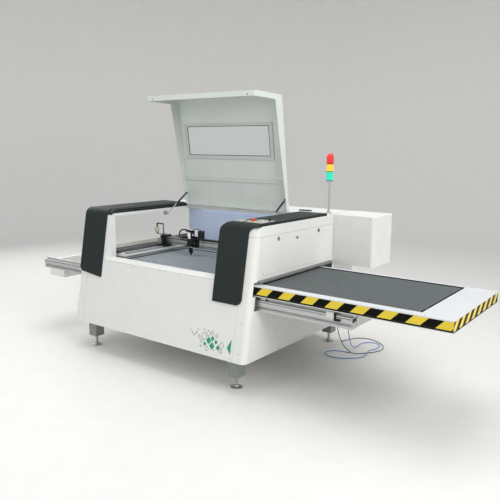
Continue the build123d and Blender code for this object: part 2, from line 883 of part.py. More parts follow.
with BuildPart() as key_switch:
    with Locations((*key_at, console_top)):
        Cylinder(key_radius, 12)
    block(
        (key_at[0] - 2, key_at[0] + 2), (key_at[1] - 11, key_at[1] + 11),
        (console_top + 6, console_top + 28),
    )

# Beams, rails and dust covers of the gantry's long travel
with BuildPart() as y_beams:
    for side, x in zip((1, -1), y_beam_x):
        inner_edge = x[1] if side > 0 else x[0]
        rail_mid = inner_edge - side * y_rail_from_inner
        block(
            x, (front + y_beam_front, front + y_beam_back), (y_beam_low, y_beam_low + y_beam_height),
        )
        block(
            (rail_mid - y_rail_width / 2, rail_mid + y_rail_width / 2),
            (front + y_beam_front + 3 * sheet, front + y_beam_back - 5 * sheet),
            (y_beam_low + y_beam_height, y_beam_low + y_beam_height + y_rail_height),
        )
y_beam_top = y_beam_low + y_beam_height
with BuildPart() as rail_covers:
    for side, x in zip((1, -1), y_beam_x):
        outer_edge = x[0] if side > 0 else x[1]
        cover_mid = outer_edge + side * dust_cover_width / 2
        with BuildSketch(Plane.XZ.offset(-(front + y_beam_front + sheet))) as cover:
            with Locations((cover_mid, y_beam_top + dust_cover_height / 2)):
                Rectangle(dust_cover_width, dust_cover_height)
            fillet(cover.vertices().group_by(Axis.Y)[-1], 2 * sheet)
            with Locations((cover_mid, y_beam_top + dust_cover_height / 2 - sheet)):
                Rectangle(dust_cover_width - 2 * sheet, dust_cover_height, mode=Mode.SUBTRACT)
        extrude(amount=-(y_beam_back - y_beam_front - 4 * sheet))

# Gantry: beam with its rail, end trucks, motor and the mirror that turns the beam along it
y_rail_top = y_beam_top + y_rail_height
truck_mid = (y_beam_x[0][1] - y_rail_from_inner, y_beam_x[1][0] + y_rail_from_inner)
beam_span = (truck_mid[0] + gantry_truck_width / 2, truck_mid[1] - gantry_truck_width / 2)
x_rail_bottom = gantry_low + gantry_height / 2 - x_rail_height / 2
with BuildPart() as gantry_beam:
    block(
        beam_span, (front + gantry_y, front + gantry_y + gantry_depth),
        (gantry_low, gantry_low + gantry_height),
    )
    block(
        (beam_span[0] - sheet, beam_span[1] + sheet),
        (front + gantry_y + gantry_wall, front + gantry_y + gantry_depth - gantry_wall),
        (gantry_low + gantry_wall, gantry_low + gantry_height - gantry_wall), Mode.SUBTRACT,
    )
    block(
        (beam_span[0] + sheet, beam_span[1] - sheet), (front + gantry_y - x_rail_depth, front + gantry_y),
        (x_rail_bottom, x_rail_bottom + x_rail_height),
    )

with BuildPart() as gantry_trucks:
    for mid in truck_mid:
        block(
            (mid - gantry_truck_width / 2, mid + gantry_truck_width / 2),
            (front + gantry_truck_front, front + gantry_truck_back),
            (y_beam_top + 2 * sheet, truck_top),
        )
        block(
            (mid - y_rail_width / 2 - running_gap, mid + y_rail_width / 2 + running_gap),
            (front + gantry_truck_front - sheet, front + gantry_truck_back + sheet),
            (y_beam_top, y_rail_top + running_gap), Mode.SUBTRACT,
        )
    fillet(gantry_trucks.edges().filter_by(Axis.Y).group_by(Axis.Z)[-1], 3 * sheet)

motor_bottom = gantry_low - 2 * sheet
with BuildPart() as x_motor:
    with BuildSketch(Plane.XZ.offset(-(front + gantry_truck_front))) as motor_face:
        with Locations((truck_mid[0], motor_bottom + motor_size / 2)):
            Rectangle(motor_size, motor_size)
        fillet(motor_face.vertices(), 3 * sheet)
    extrude(amount=gantry_truck_front - motor_front)
    fillet(x_motor.faces().sort_by(Axis.Y)[0].edges(), sheet)

with BuildPart() as gantry_mirror:
    block(
        (lane - mirror_plate_left, truck_mid[0] + gantry_truck_width / 2),
        (front + gantry_y + 3 * sheet, front + gantry_y + 6 * sheet + mirror_box / 3),
        (truck_top, truck_top + 5 * sheet),
    )
    block(
        (lane - mirror_plate_left, lane + mirror_plate_right),
        (front + gantry_y + 3 * sheet, front + gantry_y + 7 * sheet),
        (truck_top, mirror_top),
    )
    with Locations(Location((lane, front + gantry_y - 3 * sheet, beam_z), (0, 0, 45))):
        Box(0.8 * mirror_box, 6 * sheet, 0.8 * mirror_box)

# Laser head: carriage on the gantry's rail, mirror housing and barrel, and the lens tube in it
plate_front = front + gantry_y - x_rail_depth - 18 - head_plate_thickness
plate_back = plate_front + head_plate_thickness
head = left + head_x
nozzle = (head, front + nozzle_y)
barrel_bottom = gantry_low + 5
barrel_top = beam_z - mirror_box / 2 - 8
with BuildPart() as head_carriage:
    block(
        (head - head_plate_width / 2, head + head_plate_width / 2), (plate_front, plate_back),
        (barrel_bottom, plate_top),
    )
    fillet(head_carriage.edges().filter_by(Axis.Y), 4 * sheet)
    block(
        (head - carriage_width / 2, head + carriage_width / 2), (plate_back, front + gantry_y - running_gap),
        (gantry_low + 6, gantry_low + 6 + carriage_height),
    )
    block(
        (head - carriage_width, head + carriage_width),
        (front + gantry_y - x_rail_depth - running_gap, front + gantry_y),
        (x_rail_bottom - running_gap, x_rail_bottom + x_rail_height + running_gap), Mode.SUBTRACT,
    )

with BuildPart() as laser_head:
    block(
        (head - head_box / 2, head + head_box / 2), (nozzle[1] - head_box / 2, plate_front),
        (barrel_top, beam_z + head_box / 2),
    )
    fillet(laser_head.edges().filter_by(Axis.Z).group_by(Axis.Y)[0], 5 * sheet)
    block(
        (head - skirt_width / 2, head + skirt_width / 2), (plate_front - skirt_depth, plate_front),
        (barrel_bottom, barrel_bottom + skirt_height),
    )
    with BuildSketch(Plane.XY.offset(barrel_bottom)):
        with Locations(nozzle):
            Circle(barrel_radius)
    extrude(amount=barrel_top - barrel_bottom)
    block(
        (head + head_plate_width / 2, head + head_plate_width / 2 + converter_width),
        (plate_front - head_plate_thickness, plate_back + head_plate_thickness),
        (barrel_bottom + skirt_height, plate_top - sheet),
    )
    block(
        (head - head_plate_width / 2, head + head_box / 2), (plate_front - skirt_depth, plate_front),
        (beam_z + head_box / 2, beam_z + head_box / 2 + 8 * sheet),
    )
    with BuildSketch(Plane.XY.offset(barrel_bottom)):
        with Locations(nozzle):
            Circle(lens_tube_radius + stem_clearance)
    extrude(amount=barrel_top - barrel_bottom - 4, mode=Mode.SUBTRACT)

with BuildPart() as lens_tube:
    with BuildSketch(Plane(origin=(nozzle[0], nozzle[1], 0), x_dir=(1, 0, 0), z_dir=(0, -1, 0))):
        with BuildLine():
            Polyline(
                (0, nozzle_low), (4, nozzle_low), (lens_tube_radius - 2, nozzle_low + 30),
                (lens_tube_radius + lens_collar, nozzle_low + 34),
                (lens_tube_radius + lens_collar, nozzle_low + 46), (lens_tube_radius, nozzle_low + 48),
                (lens_tube_radius, barrel_top - 30), (0, barrel_top - 30), close=True,
            )
        make_face()
    revolve(axis=Axis((nozzle[0], nozzle[1], 0), (0, 0, 1)))

# Exchange rails with a guide on top and a V groove along each face, and their cross braces
with BuildPart() as exchange_rails:
    with BuildSketch(Plane.YZ.offset(left + x_low)):
        for y in rail_y:
            mid = y + rail_width / 2
            with Locations((mid, rail_low + rail_height / 2)):
                Rectangle(rail_width, rail_height)
            with Locations((mid, rail_top + guide_height / 2)):
                Rectangle(guide_width, guide_height)
            groove_mid = rail_low + rail_groove_low + rail_groove_height / 2
            for edge, way in ((y, 1), (y + rail_width, -1)):
                with BuildLine():
                    Polyline(
                        (edge, groove_mid - rail_groove_height / 2),
                        (edge + way * rail_groove_depth, groove_mid),
                        (edge, groove_mid + rail_groove_height / 2), close=True,
                    )
                make_face(mode=Mode.SUBTRACT)
            hollow_top = rail_top - rail_cavity_wall
            hollow_low = groove_mid + rail_groove_height / 2 + rail_cavity_wall
            with Locations((mid, (hollow_top + hollow_low) / 2)):
                Rectangle(rail_width - 2 * rail_cavity_wall, hollow_top - hollow_low, mode=Mode.SUBTRACT)
    extrude(amount=rail_length)

rail_inner = (rail_y[0] + rail_width, rail_y[1])
rail_ends = (left + x_low, left + x_low + rail_length)
brace_z = (rail_low + tube_wall, rail_low + tube_wall + brace_height)
cross_z = (rail_low - cross_tube_height, rail_low)
cross_x = (rail_ends[0] + cross_tube_from_end, rail_ends[0] + cross_tube_from_end + cross_tube_width)
with BuildPart() as rail_braces:
    for x in ((rail_ends[0], rail_ends[0] + brace_length), (rail_ends[1] - brace_length, rail_ends[1])):
        block(x, rail_inner, brace_z)
        block(
            (x[0] + tube_wall, x[1] - tube_wall), (rail_inner[0] - tube_wall, rail_inner[1] + tube_wall),
            (brace_z[0] + tube_wall, brace_z[1] - tube_wall), Mode.SUBTRACT,
        )
    block(cross_x, (rail_y[0], rail_y[1] + rail_width), cross_z)
    block(
        (cross_x[0] + tube_wall, cross_x[1] - tube_wall),
        (rail_y[0] + tube_wall, rail_y[1] + rail_width + tube_wall),
        (cross_z[0] + tube_wall, cross_z[1] - tube_wall), Mode.SUBTRACT,
    )

# Exchange tables, their beds and the trucks that ride on the rails
bed_y = (front + bed_front, front + bed_front + bed_depth)
seat = table_top - bed_recess - bed_thickness
truck_places = (truck_offset_inner + truck_length / 2, truck_offset_outer + truck_length / 2)


def along(inner, way, low, high):
    """X range measured from a table's inner edge towards its outer end."""
    ends = (inner + way * low, inner + way * high)
    return (min(ends), max(ends))


def table_frame(inner, way):
    """Folded table top with a recess for its bed and channels across its underside."""
    length = margin_inner + bed_length + margin_outer
    bed = (margin_inner, margin_inner + bed_length)
    wall = table_sheet
    with BuildPart() as frame:
        block(along(inner, way, 0, length), (table_front, table_back), (table_bottom, table_top))
        fillet(frame.faces().sort_by(Axis.Z)[-1].edges(), sheet)
        block(
            along(inner, way, wall, length - wall), (table_front + wall, table_back - wall),
            (table_bottom - wall, table_top - wall), Mode.SUBTRACT,
        )
        block(
            along(inner, way, bed[0] - wall, bed[1] + wall), (bed_y[0] - wall, bed_y[1] + wall),
            (seat - wall, table_top - wall),
        )
        block(along(inner, way, *bed), bed_y, (seat, table_top + wall), Mode.SUBTRACT)
        block(
            along(inner, way, bed[0] + ledge_width, bed[1] - ledge_width),
            (bed_y[0] + ledge_width, bed_y[1] - ledge_width), (seat - 2 * wall, seat + wall), Mode.SUBTRACT,
        )
        for place in truck_places:
            block(
                along(inner, way, place - channel_width / 2, place + channel_width / 2),
                (table_front + wall, table_back - wall), (table_bottom, table_bottom + channel_height),
            )
            block(
                along(inner, way, place - channel_width / 2 + wall, place + channel_width / 2 - wall),
                (table_front + wall, table_back - wall),
                (table_bottom + wall, table_bottom + 2 * channel_height), Mode.SUBTRACT,
            )
        for edge_y in ((table_front, table_front + wall), (table_back - wall, table_back)):
            block(along(inner, way, 0, length), edge_y, (table_bottom, table_top - 2 * wall))
        tape_foot = table_bottom + tape_low
        block(
            along(inner, way, length - tape_relief, length + wall), (table_front - wall, table_back + wall),
            (tape_foot, tape_foot + tape_width), Mode.SUBTRACT,
        )
    return frame.part


def table_bed(inner, way):
    """Bed that lies in a table's recess: a raised rim round a sunk field."""
    bed = along(inner, way, margin_inner + bed_fit, margin_inner + bed_length - bed_fit)
    depth = (bed_y[0] + bed_fit, bed_y[1] - bed_fit)
    with BuildPart() as part:
        block(bed, depth, (seat, seat + bed_thickness))
        block(
            (bed[0] + bed_rim, bed[1] - bed_rim), (depth[0] + bed_rim, depth[1] - bed_rim),
            (seat + bed_thickness - sheet, seat + bed_thickness + sheet), Mode.SUBTRACT,
        )
        block(
            (bed[0] + bed_rim, bed[1] - bed_rim), (depth[0] + bed_rim, depth[1] - bed_rim),
            (seat - sheet, seat + bed_thickness - sheet - bed_plate), Mode.SUBTRACT,
        )
    return part.part


def table_trucks(inner, way):
    """Four trucks, each saddled over a rail's guide and bolted to a table's channel."""
    with BuildPart() as trucks:
        for place in truck_places:
            for y in rail_y:
                mid = y + rail_width / 2
                span = along(inner, way, place - truck_length / 2, place + truck_length / 2)
                block(
                    span, (mid - truck_width / 2, mid + truck_width / 2),
                    (rail_top + sheet, table_bottom),
                )
                block(
                    (span[0] - sheet, span[1] + sheet),
                    (mid - guide_width / 2 - running_gap, mid + guide_width / 2 + running_gap),
                    (rail_top, guide_top + running_gap), Mode.SUBTRACT,
                )
    return trucks.part


right_inner = bay + exchange_travel - bed_length / 2 - margin_inner
left_inner = bay + bed_length / 2 + margin_inner
right_frame_part, left_frame_part = table_frame(right_inner, 1), table_frame(left_inner, -1)
right_bed_part, left_bed_part = table_bed(right_inner, 1), table_bed(left_inner, -1)
right_truck_part, left_truck_part = table_trucks(right_inner, 1), table_trucks(left_inner, -1)
with BuildPart() as right_table:
    add(right_frame_part)
with BuildPart() as left_table:
    add(left_frame_part)
with BuildPart() as right_bed:
    add(right_bed_part)
with BuildPart() as left_bed:
    add(left_bed_part)
with BuildPart() as right_trucks:
    add(right_truck_part)
with BuildPart() as left_trucks:
    add(left_truck_part)

# Round seals above the slots
seal_mid = slot_high - seal_lap + seal_height / 2
with BuildPart() as slot_seals:
    with BuildSketch(Plane.XZ.offset(-(front + seal_front))):
        for edge, way in ((left, -1), (right, 1)):
            flat = seal_depth - seal_height / 2
            with Locations((edge + way * flat / 2, seal_mid)):
                Rectangle(flat, seal_height)
            with Locations((edge + way * flat, seal_mid)):
                Circle(seal_height / 2)
            with Locations((edge - way * seal_height / 2, seal_mid)):
                Rectangle(seal_height, 2 * seal_height, mode=Mode.SUBTRACT)
    extrude(amount=-(seal_back - seal_front))

# Service panel with its latches and lock
panel_y = (front + service_front + panel_gap, front + service_back - panel_gap)
panel_z = (service_low + panel_gap, service_top - panel_gap)
with BuildPart() as service_panel:
    block((right - service_flange, right), panel_y, panel_z)
    block(
        (right - service_flange - sheet, right - sheet), (panel_y[0] + sheet, panel_y[1] - sheet),
        (panel_z[0] + sheet, panel_z[1] - sheet), Mode.SUBTRACT,
    )
    with BuildSketch(Plane.YZ.offset(right - 2 * sheet)):
        for place in latch_places:
            with Locations((front + place, latch_z)):
                Circle(latch_radius + stem_clearance)
        with Locations((front + lock_place, lock_z)):
            Circle(latch_radius + stem_clearance)
    extrude(amount=3 * sheet, mode=Mode.SUBTRACT)


def turn_latch(y, z, grip):
    """Turn latch: a grip outside, a barrel through the panel and a cam behind the skin."""
    cam_x = right - service_flange - running_gap - 2 * sheet
    with BuildPart() as latch:
        with BuildSketch(Plane.YZ.offset(cam_x)):
            with Locations((y, z)):
                Circle(latch_radius)
        extrude(amount=right + running_gap - cam_x)
        with BuildSketch(Plane.YZ.offset(right + running_gap)):
            with Locations((y, z)):
                Circle(latch_radius * 1.4)
        extrude(amount=sheet)
        with BuildSketch(Plane.YZ.offset(right + running_gap + sheet)):
            with Locations((y, z)):
                SlotOverall(grip, grip / 3, rotation=90)
        extrude(amount=5 * sheet)
        block(
            (cam_x, cam_x + 2 * sheet), (y - latch_radius * 0.7, y + latch_radius * 0.7),
            (z, service_top + latch_reach / 4),
        )
    return latch.part


front_latch_part = turn_latch(front + latch_places[0], latch_z, latch_grip)
rear_latch_part = turn_latch(front + latch_places[1], latch_z, latch_grip)
lock_part = turn_latch(front + lock_place, lock_z, latch_grip * 0.55)
with BuildPart() as front_latch:
    add(front_latch_part)
with BuildPart() as rear_latch:
    add(rear_latch_part)
with BuildPart() as panel_lock:
    add(lock_part)

# Lid, drawn closed and then turned open about its hinge
lid_back = hinge[0] - lid_back_gap
corner = (front + lid_front, lid_top)
lip = (corner[0] - lid_drop * lean, lid_top - lid_drop)
lip_inner = (lip[0] + lid_flange_front * lean_cos, lip[1] - lid_flange_front * lean_sin)
flange_start = (corner[0], lid_top - lid_flange_deep)
flange_end = (lid_back, lid_top - lid_flange_back)
flange_run = (flange_end[0] - flange_start[0], flange_end[1] - flange_start[1])
lip_reach = lip_inner[0] + lean * (flange_start[1] - lip_inner[1]) - flange_start[0]
share = lip_reach / (flange_run[0] - lean * flange_run[1])
flange_knee = (flange_start[0] + share * flange_run[0], flange_start[1] + share * flange_run[1])
window_x = (lid_left + window_left, lid_right - window_right)
window_y = (hinge[0] - window_place - window_height, hinge[0] - window_place)
lid_inside = lid_top - lid_sheet
stud_closed = (hinge[0] - stud_back, hinge[1] - stud_down)
strut_x = (lid_left + lid_sheet + strut_offset, lid_right - lid_sheet - strut_offset)
knuckles = (lid_left + hinge_inset, (lid_left + lid_right) / 2, lid_right - hinge_inset)
with BuildPart() as closed_shell:
    with BuildSketch(Plane.YZ.offset(lid_left)):
        with BuildLine():
            Polyline(corner, lip, lip_inner, flange_knee, flange_end, (lid_back, lid_top), close=True)
        make_face()
    extrude(amount=lid_right - lid_left)
    fillet(closed_shell.edges().filter_by(Axis.X).sort_by_distance((0, *corner))[0], lid_bend)
    lid_mid = (lid_left + lid_right) / 2
    front_inner = (lid_mid, (lip_inner[0] + flange_knee[0]) / 2, (lip_inner[1] + flange_knee[1]) / 2)
    main_inner = (lid_mid, (flange_end[0] + flange_knee[0]) / 2, (flange_end[1] + flange_knee[1]) / 2)
    open_faces = [
        closed_shell.faces().sort_by_distance(front_inner)[0],
        closed_shell.faces().sort_by_distance(main_inner)[0],
    ]
    offset(amount=-lid_sheet, openings=open_faces)
    block(window_x, window_y, (lid_inside - lid_sheet, lid_top + lid_sheet), Mode.SUBTRACT)
    rib_y = hinge[0] - lid_rib_place
    block(
        (lid_left + lid_sheet, lid_right - lid_sheet), (rib_y - lid_rib_width / 2, rib_y + lid_rib_width / 2),
        (lid_inside - lid_rib_height, lid_inside),
    )
    for side, x in zip((1, -1), (lid_left + lid_sheet, lid_right - lid_sheet)):
        stub = x + side * (strut_offset - strut_eye_width / 2 - running_gap)
        with BuildSketch(Plane.YZ.offset(min(x, stub))):
            with Locations(stud_closed):
                Circle(strut_eye_radius)
        extrude(amount=abs(stub - x))
    for x in knuckles:
        block(
            (x - hinge_knuckle / 2, x + hinge_knuckle / 2), (lid_back - hinge_knuckle, hinge[0]),
            (lid_top, lid_top + sheet),
        )
        with BuildSketch(Plane.YZ.offset(x - hinge_knuckle / 2)):
            with Locations(hinge):
                Circle(hinge_radius)
        extrude(amount=hinge_knuckle)
        with BuildSketch(Plane.YZ.offset(x - hinge_knuckle / 2 - sheet)):
            with Locations(hinge):
                Circle(pin_radius + pin_clearance)
        extrude(amount=hinge_knuckle + 2 * sheet, mode=Mode.SUBTRACT)

pane_z = (lid_inside - pane_thickness, lid_inside)
with BuildPart() as closed_pane:
    block(
        (window_x[0] - pane_lap, window_x[1] + pane_lap),
        (window_y[0] - pane_lap, window_y[1] + pane_lap), pane_z,
    )
with BuildPart() as closed_bezel:
    block(
        (window_x[0] - bezel_left, window_x[1] + bezel_right),
        (window_y[0] - bezel_high, window_y[1] + bezel_low),
        (pane_z[0] - bezel_thickness, pane_z[0]),
    )
    fillet(closed_bezel.edges().filter_by(Axis.Z), 4 * sheet)
    block(window_x, window_y, (pane_z[0] - 2 * bezel_thickness, pane_z[0] + sheet), Mode.SUBTRACT)
    chamfer(closed_bezel.faces().sort_by(Axis.Z)[0].outer_wire().edges(), sheet)

open_shell = closed_shell.part.rotate(hinge_axis, -lid_open)
open_pane = closed_pane.part.rotate(hinge_axis, -lid_open)
open_bezel = closed_bezel.part.rotate(hinge_axis, -lid_open)
with BuildPart() as lid_shell:
    add(open_shell)
with BuildPart() as lid_window:
    add(open_pane)
with BuildPart() as window_bezel:
    add(open_bezel)

# Hinges on the rear deck, each with two knuckles and a pin
outer_knuckle = hinge_knuckle * 1.5
with BuildPart() as lid_hinges:
    for x in knuckles:
        block(
            (x - outer_knuckle, x + outer_knuckle),
            (hinge[0] + hinge_radius + sheet, front + deck_front + hinge_knuckle),
            (deck_top, deck_top + sheet),
        )
        for side in (-1, 1):
            ends = sorted((x + side * (hinge_knuckle / 2 + running_gap), x + side * outer_knuckle))
            block(ends, (hinge[0], hinge[0] + hinge_radius + 2 * sheet), (deck_top, deck_top + sheet))
            with BuildSketch(Plane.YZ.offset(ends[0])):
                with Locations(hinge):
                    Circle(hinge_radius)
            extrude(amount=ends[1] - ends[0])
        with BuildSketch(Plane.YZ.offset(x - outer_knuckle)):
            with Locations(hinge):
                Circle(pin_radius)
        extrude(amount=2 * outer_knuckle)

# Gas struts: the rod's eye turns on a bracket, the cylinder's eye follows the lid's stud
swing = radians(lid_open)
stud_open = (
    hinge[0] - stud_back * cos(swing) - stud_down * sin(swing),
    hinge[1] + stud_back * sin(swing) - stud_down * cos(swing),
)
strut_foot = (front + strut_foot_y, strut_foot_z)
strut_run = (stud_open[0] - strut_foot[0], stud_open[1] - strut_foot[1])
open_length = (strut_run[0] ** 2 + strut_run[1] ** 2) ** 0.5
closed_length = ((stud_closed[0] - strut_foot[0]) ** 2 + (stud_closed[1] - strut_foot[1]) ** 2) ** 0.5
strut_low = open_length - strut_end - strut_length


def strut_plane(x, distance):
    """Plane square to a strut at a distance from its foot."""
    y = strut_foot[0] + strut_run[0] * distance / open_length
    z = strut_foot[1] + strut_run[1] * distance / open_length
    return Plane(origin=(x, y, z), x_dir=(1, 0, 0), z_dir=(0, strut_run[0], strut_run[1]))


def strut_rod(x):
    """Polished rod with the eye that turns on its bracket's pin."""
    with BuildPart() as rod:
        with BuildSketch(strut_plane(x, 0)):
            Circle(strut_rod_radius)
        extrude(amount=strut_low + strut_overlap)
        with BuildSketch(Plane.YZ.offset(x - strut_eye_width / 2)):
            with Locations(strut_foot):
                Circle(strut_eye_radius)
        extrude(amount=strut_eye_width)
        with BuildSketch(Plane.YZ.offset(x - strut_eye_width)):
            with Locations(strut_foot):
                Circle(strut_pin_radius + pin_clearance)
        extrude(amount=2 * strut_eye_width, mode=Mode.SUBTRACT)
    return rod.part


def strut_cylinder(x):
    """Cylinder with its blind bore and the eye beside the lid's stud."""
    with BuildPart() as cylinder:
        with BuildSketch(strut_plane(x, strut_low)):
            Circle(strut_radius)
        extrude(amount=strut_length)
        with BuildSketch(Plane.YZ.offset(x - strut_eye_width / 2)):
            with Locations(stud_open):
                Circle(strut_eye_radius)
        extrude(amount=strut_eye_width)
        with BuildSketch(strut_plane(x, strut_low + strut_length - sheet)):
            Circle(strut_rod_radius)
        extrude(amount=strut_end)
        with BuildSketch(Plane.YZ.offset(x - strut_eye_width)):
            with Locations(stud_open):
                Circle(strut_pin_radius)
        extrude(amount=2 * strut_eye_width, mode=Mode.SUBTRACT)
        with BuildSketch(strut_plane(x, strut_low)):
            Circle(strut_rod_radius + pin_clearance)
        extrude(amount=strut_length - strut_overlap, mode=Mode.SUBTRACT)
    return cylinder.part


left_rod_part, right_rod_part = strut_rod(strut_x[0]), strut_rod(strut_x[1])
left_cylinder_part, right_cylinder_part = strut_cylinder(strut_x[0]), strut_cylinder(strut_x[1])
with BuildPart() as left_strut_rod:
    add(left_rod_part)
with BuildPart() as right_strut_rod:
    add(right_rod_part)
with BuildPart() as left_strut_cylinder:
    add(left_cylinder_part)
with BuildPart() as right_strut_cylinder:
    add(right_cylinder_part)

bracket_half = 22.0
with BuildPart() as strut_brackets:
    block(
        (arm_left - 7 * sheet, arm_left - sheet),
        (strut_foot[0] - bracket_half, strut_foot[0] + bracket_half),
        (strut_foot[1] - bracket_half / 2, beam_bottom),
    )
    with BuildSketch(Plane.YZ.offset(arm_left - 2 * sheet)):
        with Locations(strut_foot):
            Circle(strut_pin_radius)
    extrude(amount=strut_x[0] + strut_eye_width / 2 + sheet - arm_left + 2 * sheet)
    bracket_face = strut_x[1] + strut_eye_width / 2 + 6 * sheet
    block(
        (bracket_face, arm_right), (strut_foot[0] - bracket_half, strut_foot[0] + bracket_half),
        (strut_foot[1] - bracket_half / 2, strut_foot[1] + 4 * sheet),
    )
    with BuildSketch(Plane.YZ.offset(strut_x[1] - strut_eye_width / 2 - sheet)):
        with Locations(strut_foot):
            Circle(strut_pin_radius)
    extrude(amount=bracket_face + sheet - strut_x[1] + strut_eye_width / 2 + sheet)

# Glands under the rear rail, and the hose and cable that hang from them to the floor
hose_floor = hose_radius + 0.5
cable_floor = cable_radius + 0.5
hose_over = cable_floor + cable_radius + 3 * hose_radius + 0.5
gland_bottom = rail_low - gland_length
hose_route = [
    (*hose_leaves, gland_bottom), (*hose_leaves, 556), (310, 15, 470), (301, 48, 388),
    (287, 98, 308), (267, 160, 232), (241, 232, 162), (213, 312, 104), (187, 398, 58),
    (165, 488, 24), (148, 578, hose_floor), (139, 664, hose_floor), (165, 744, hose_floor),
    (241, 780, hose_floor), (313, 740, hose_floor), (333, 661, hose_floor), (317, 578, hose_floor),
    (309, 498, hose_over), (333, 416, hose_over), (337, 334, hose_floor), (287, 256, hose_floor),
    (215, 188, hose_floor), (125, 146, hose_floor), (31, 158, hose_floor), (-21, 228, hose_floor),
    (5, 306, hose_floor), (75, 348, hose_floor), (157, 356, hose_floor),
]
cable_route = [
    (*cable_leaves, gland_bottom), (*cable_leaves, 560), (215, 9, 480), (207, 28, 400),
    (199, 58, 322), (195, 98, 246), (195, 148, 172), (201, 206, 106), (213, 268, 52),
    (233, 330, 16), (263, 396, cable_floor), (315, 460, cable_floor), (365, 536, cable_floor),
    (387, 628, cable_floor), (363, 718, cable_floor), (299, 792, cable_floor),
    (213, 844, cable_floor), (117, 858, cable_floor), (35, 816, cable_floor),
    (-11, 736, cable_floor), (-39, 646, cable_floor),
]


def route_points(route):
    """Route in the machine's frame, from the cabinet's right side and the row of glands."""
    return [Vector(right + x, cord_row + y, z) for x, y, z in route]


def cord_radii(points):
    """Radius of each corner, as large as its two runs allow."""
    radii = []
    for before, here, after in zip(points, points[1:], points[2:]):
        turn = (here - before).get_angle(after - here)
        shorter = min((here - before).length, (after - here).length)
        radii.append(0.45 * shorter / tan(radians(turn / 2)))
    return radii


def cord_tube(route, radius):
    """Round tube that follows a route by straight runs and tangent arcs."""
    points = route_points(route)
    with BuildPart() as tube:
        with BuildLine() as path:
            FilletPolyline(*points, radius=cord_radii(points))
        with BuildSketch(Plane(origin=points[0], z_dir=points[1] - points[0])):
            Circle(radius)
        sweep()
    length = path.wires()[0].length
    section = pi * radius ** 2
    print("cord length", round(length, 1), "smallest radius", round(min(cord_radii(points)), 1),
          "volume share", round(tube.part.volume / (section * length), 4))
    return tube.part


hose_part = cord_tube(hose_route, hose_radius)
cable_part = cord_tube(cable_route, cable_radius)
with BuildPart() as air_hose:
    add(hose_part)
with BuildPart() as sensor_cable:
    add(cable_part)

with BuildPart() as cable_glands:
    for x, y in (hose_leaves, cable_leaves):
        with BuildSketch(Plane.XY.offset(gland_bottom)):
            with Locations((right + x, cord_row + y)):
                RegularPolygon(gland_radius, 6)
        extrude(amount=gland_length)


def cord_end(route, radius, length, width):
    """Fitting on the far end of a cord, face to face with it."""
    points = route_points(route)
    run = (points[-1] - points[-2]).normalized()
    with BuildPart() as fitting:
        with BuildSketch(Plane(origin=points[-1], z_dir=run)):
            Circle(radius)
        extrude(amount=length)
        with BuildSketch(Plane(origin=points[-1] + run * length * 0.3, z_dir=run)):
            Circle(width)
        extrude(amount=length * 0.4)
    return fitting.part


hose_end = cord_end(hose_route, hose_radius, 26, hose_radius + 0.4)
cable_end = cord_end(cable_route, cable_radius, 30, cable_radius + 0.4)
with BuildPart() as cord_ends:
    add(hose_end)
    add(cable_end)

pieces = {
    "base_frame": base_frame,
    "levelling_feet": levelling_feet,
    "front_panel": front_panel,
    "left_side_skin": left_side_skin,
    "right_side_skin": right_side_skin,
    "left_arm": left_arm,
    "right_arm": right_arm,
    "left_arm_cover": left_arm_cover,
    "right_arm_cover": right_arm_cover,
    "rear_deck": rear_deck,
    "rear_panel": rear_panel,
    "bottom_pan": bottom_pan,
    "inner_back_wall": inner_back_wall,
    "tube_box": tube_box,
    "laser_tube": laser_tube,
    "tube_supports": tube_supports,
    "first_mirror": first_mirror,
    "light_stem": light_stem,
    "green_lens": green_lens,
    "amber_lens": amber_lens,
    "red_lens": red_lens,
    "control_console": control_console,
    "estop_button": estop_button,
    "start_button": start_button,
    "key_switch": key_switch,
    "y_beams": y_beams,
    "rail_covers": rail_covers,
    "gantry_beam": gantry_beam,
    "gantry_trucks": gantry_trucks,
    "x_motor": x_motor,
    "gantry_mirror": gantry_mirror,
    "head_carriage": head_carriage,
    "laser_head": laser_head,
    "lens_tube": lens_tube,
    "exchange_rails": exchange_rails,
    "rail_braces": rail_braces,
    "right_table": right_table,
    "right_bed": right_bed,
    "right_trucks": right_trucks,
    "left_table": left_table,
    "left_bed": left_bed,
    "left_trucks": left_trucks,
    "slot_seals": slot_seals,
    "service_panel": service_panel,
    "front_latch": front_latch,
    "rear_latch": rear_latch,
    "panel_lock": panel_lock,
    "lid_shell": lid_shell,
    "lid_window": lid_window,
    "window_bezel": window_bezel,
    "lid_hinges": lid_hinges,
    "left_strut_rod": left_strut_rod,
    "right_strut_rod": right_strut_rod,
    "left_strut_cylinder": left_strut_cylinder,
    "right_strut_cylinder": right_strut_cylinder,
    "strut_brackets": strut_brackets,
    "cable_glands": cable_glands,
    "air_hose": air_hose,
    "sensor_cable": sensor_cable,
    "cord_ends": cord_ends,
}
for name, piece in pieces.items():
    piece.part.label = name
    export_step(piece.part, f"parts/{name}.step")

print("lid opens", lid_open, "strut open", round(open_length, 2), "closed", round(closed_length, 2))
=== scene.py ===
"""Looks of the carbon dioxide laser cutting machine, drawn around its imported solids.

Places are given in millimetres from the cabinet's left side, its front line and
the floor, as in the solid model, and turned into the shared frame in metres.
"""

import logging
from dataclasses import dataclass
from enum import Enum
from math import cos, pi, radians, sin, sqrt, tan
from typing import Dict, Iterable, List, Optional, Sequence, Tuple

import bmesh
import bpy
from mathutils import Matrix, Vector


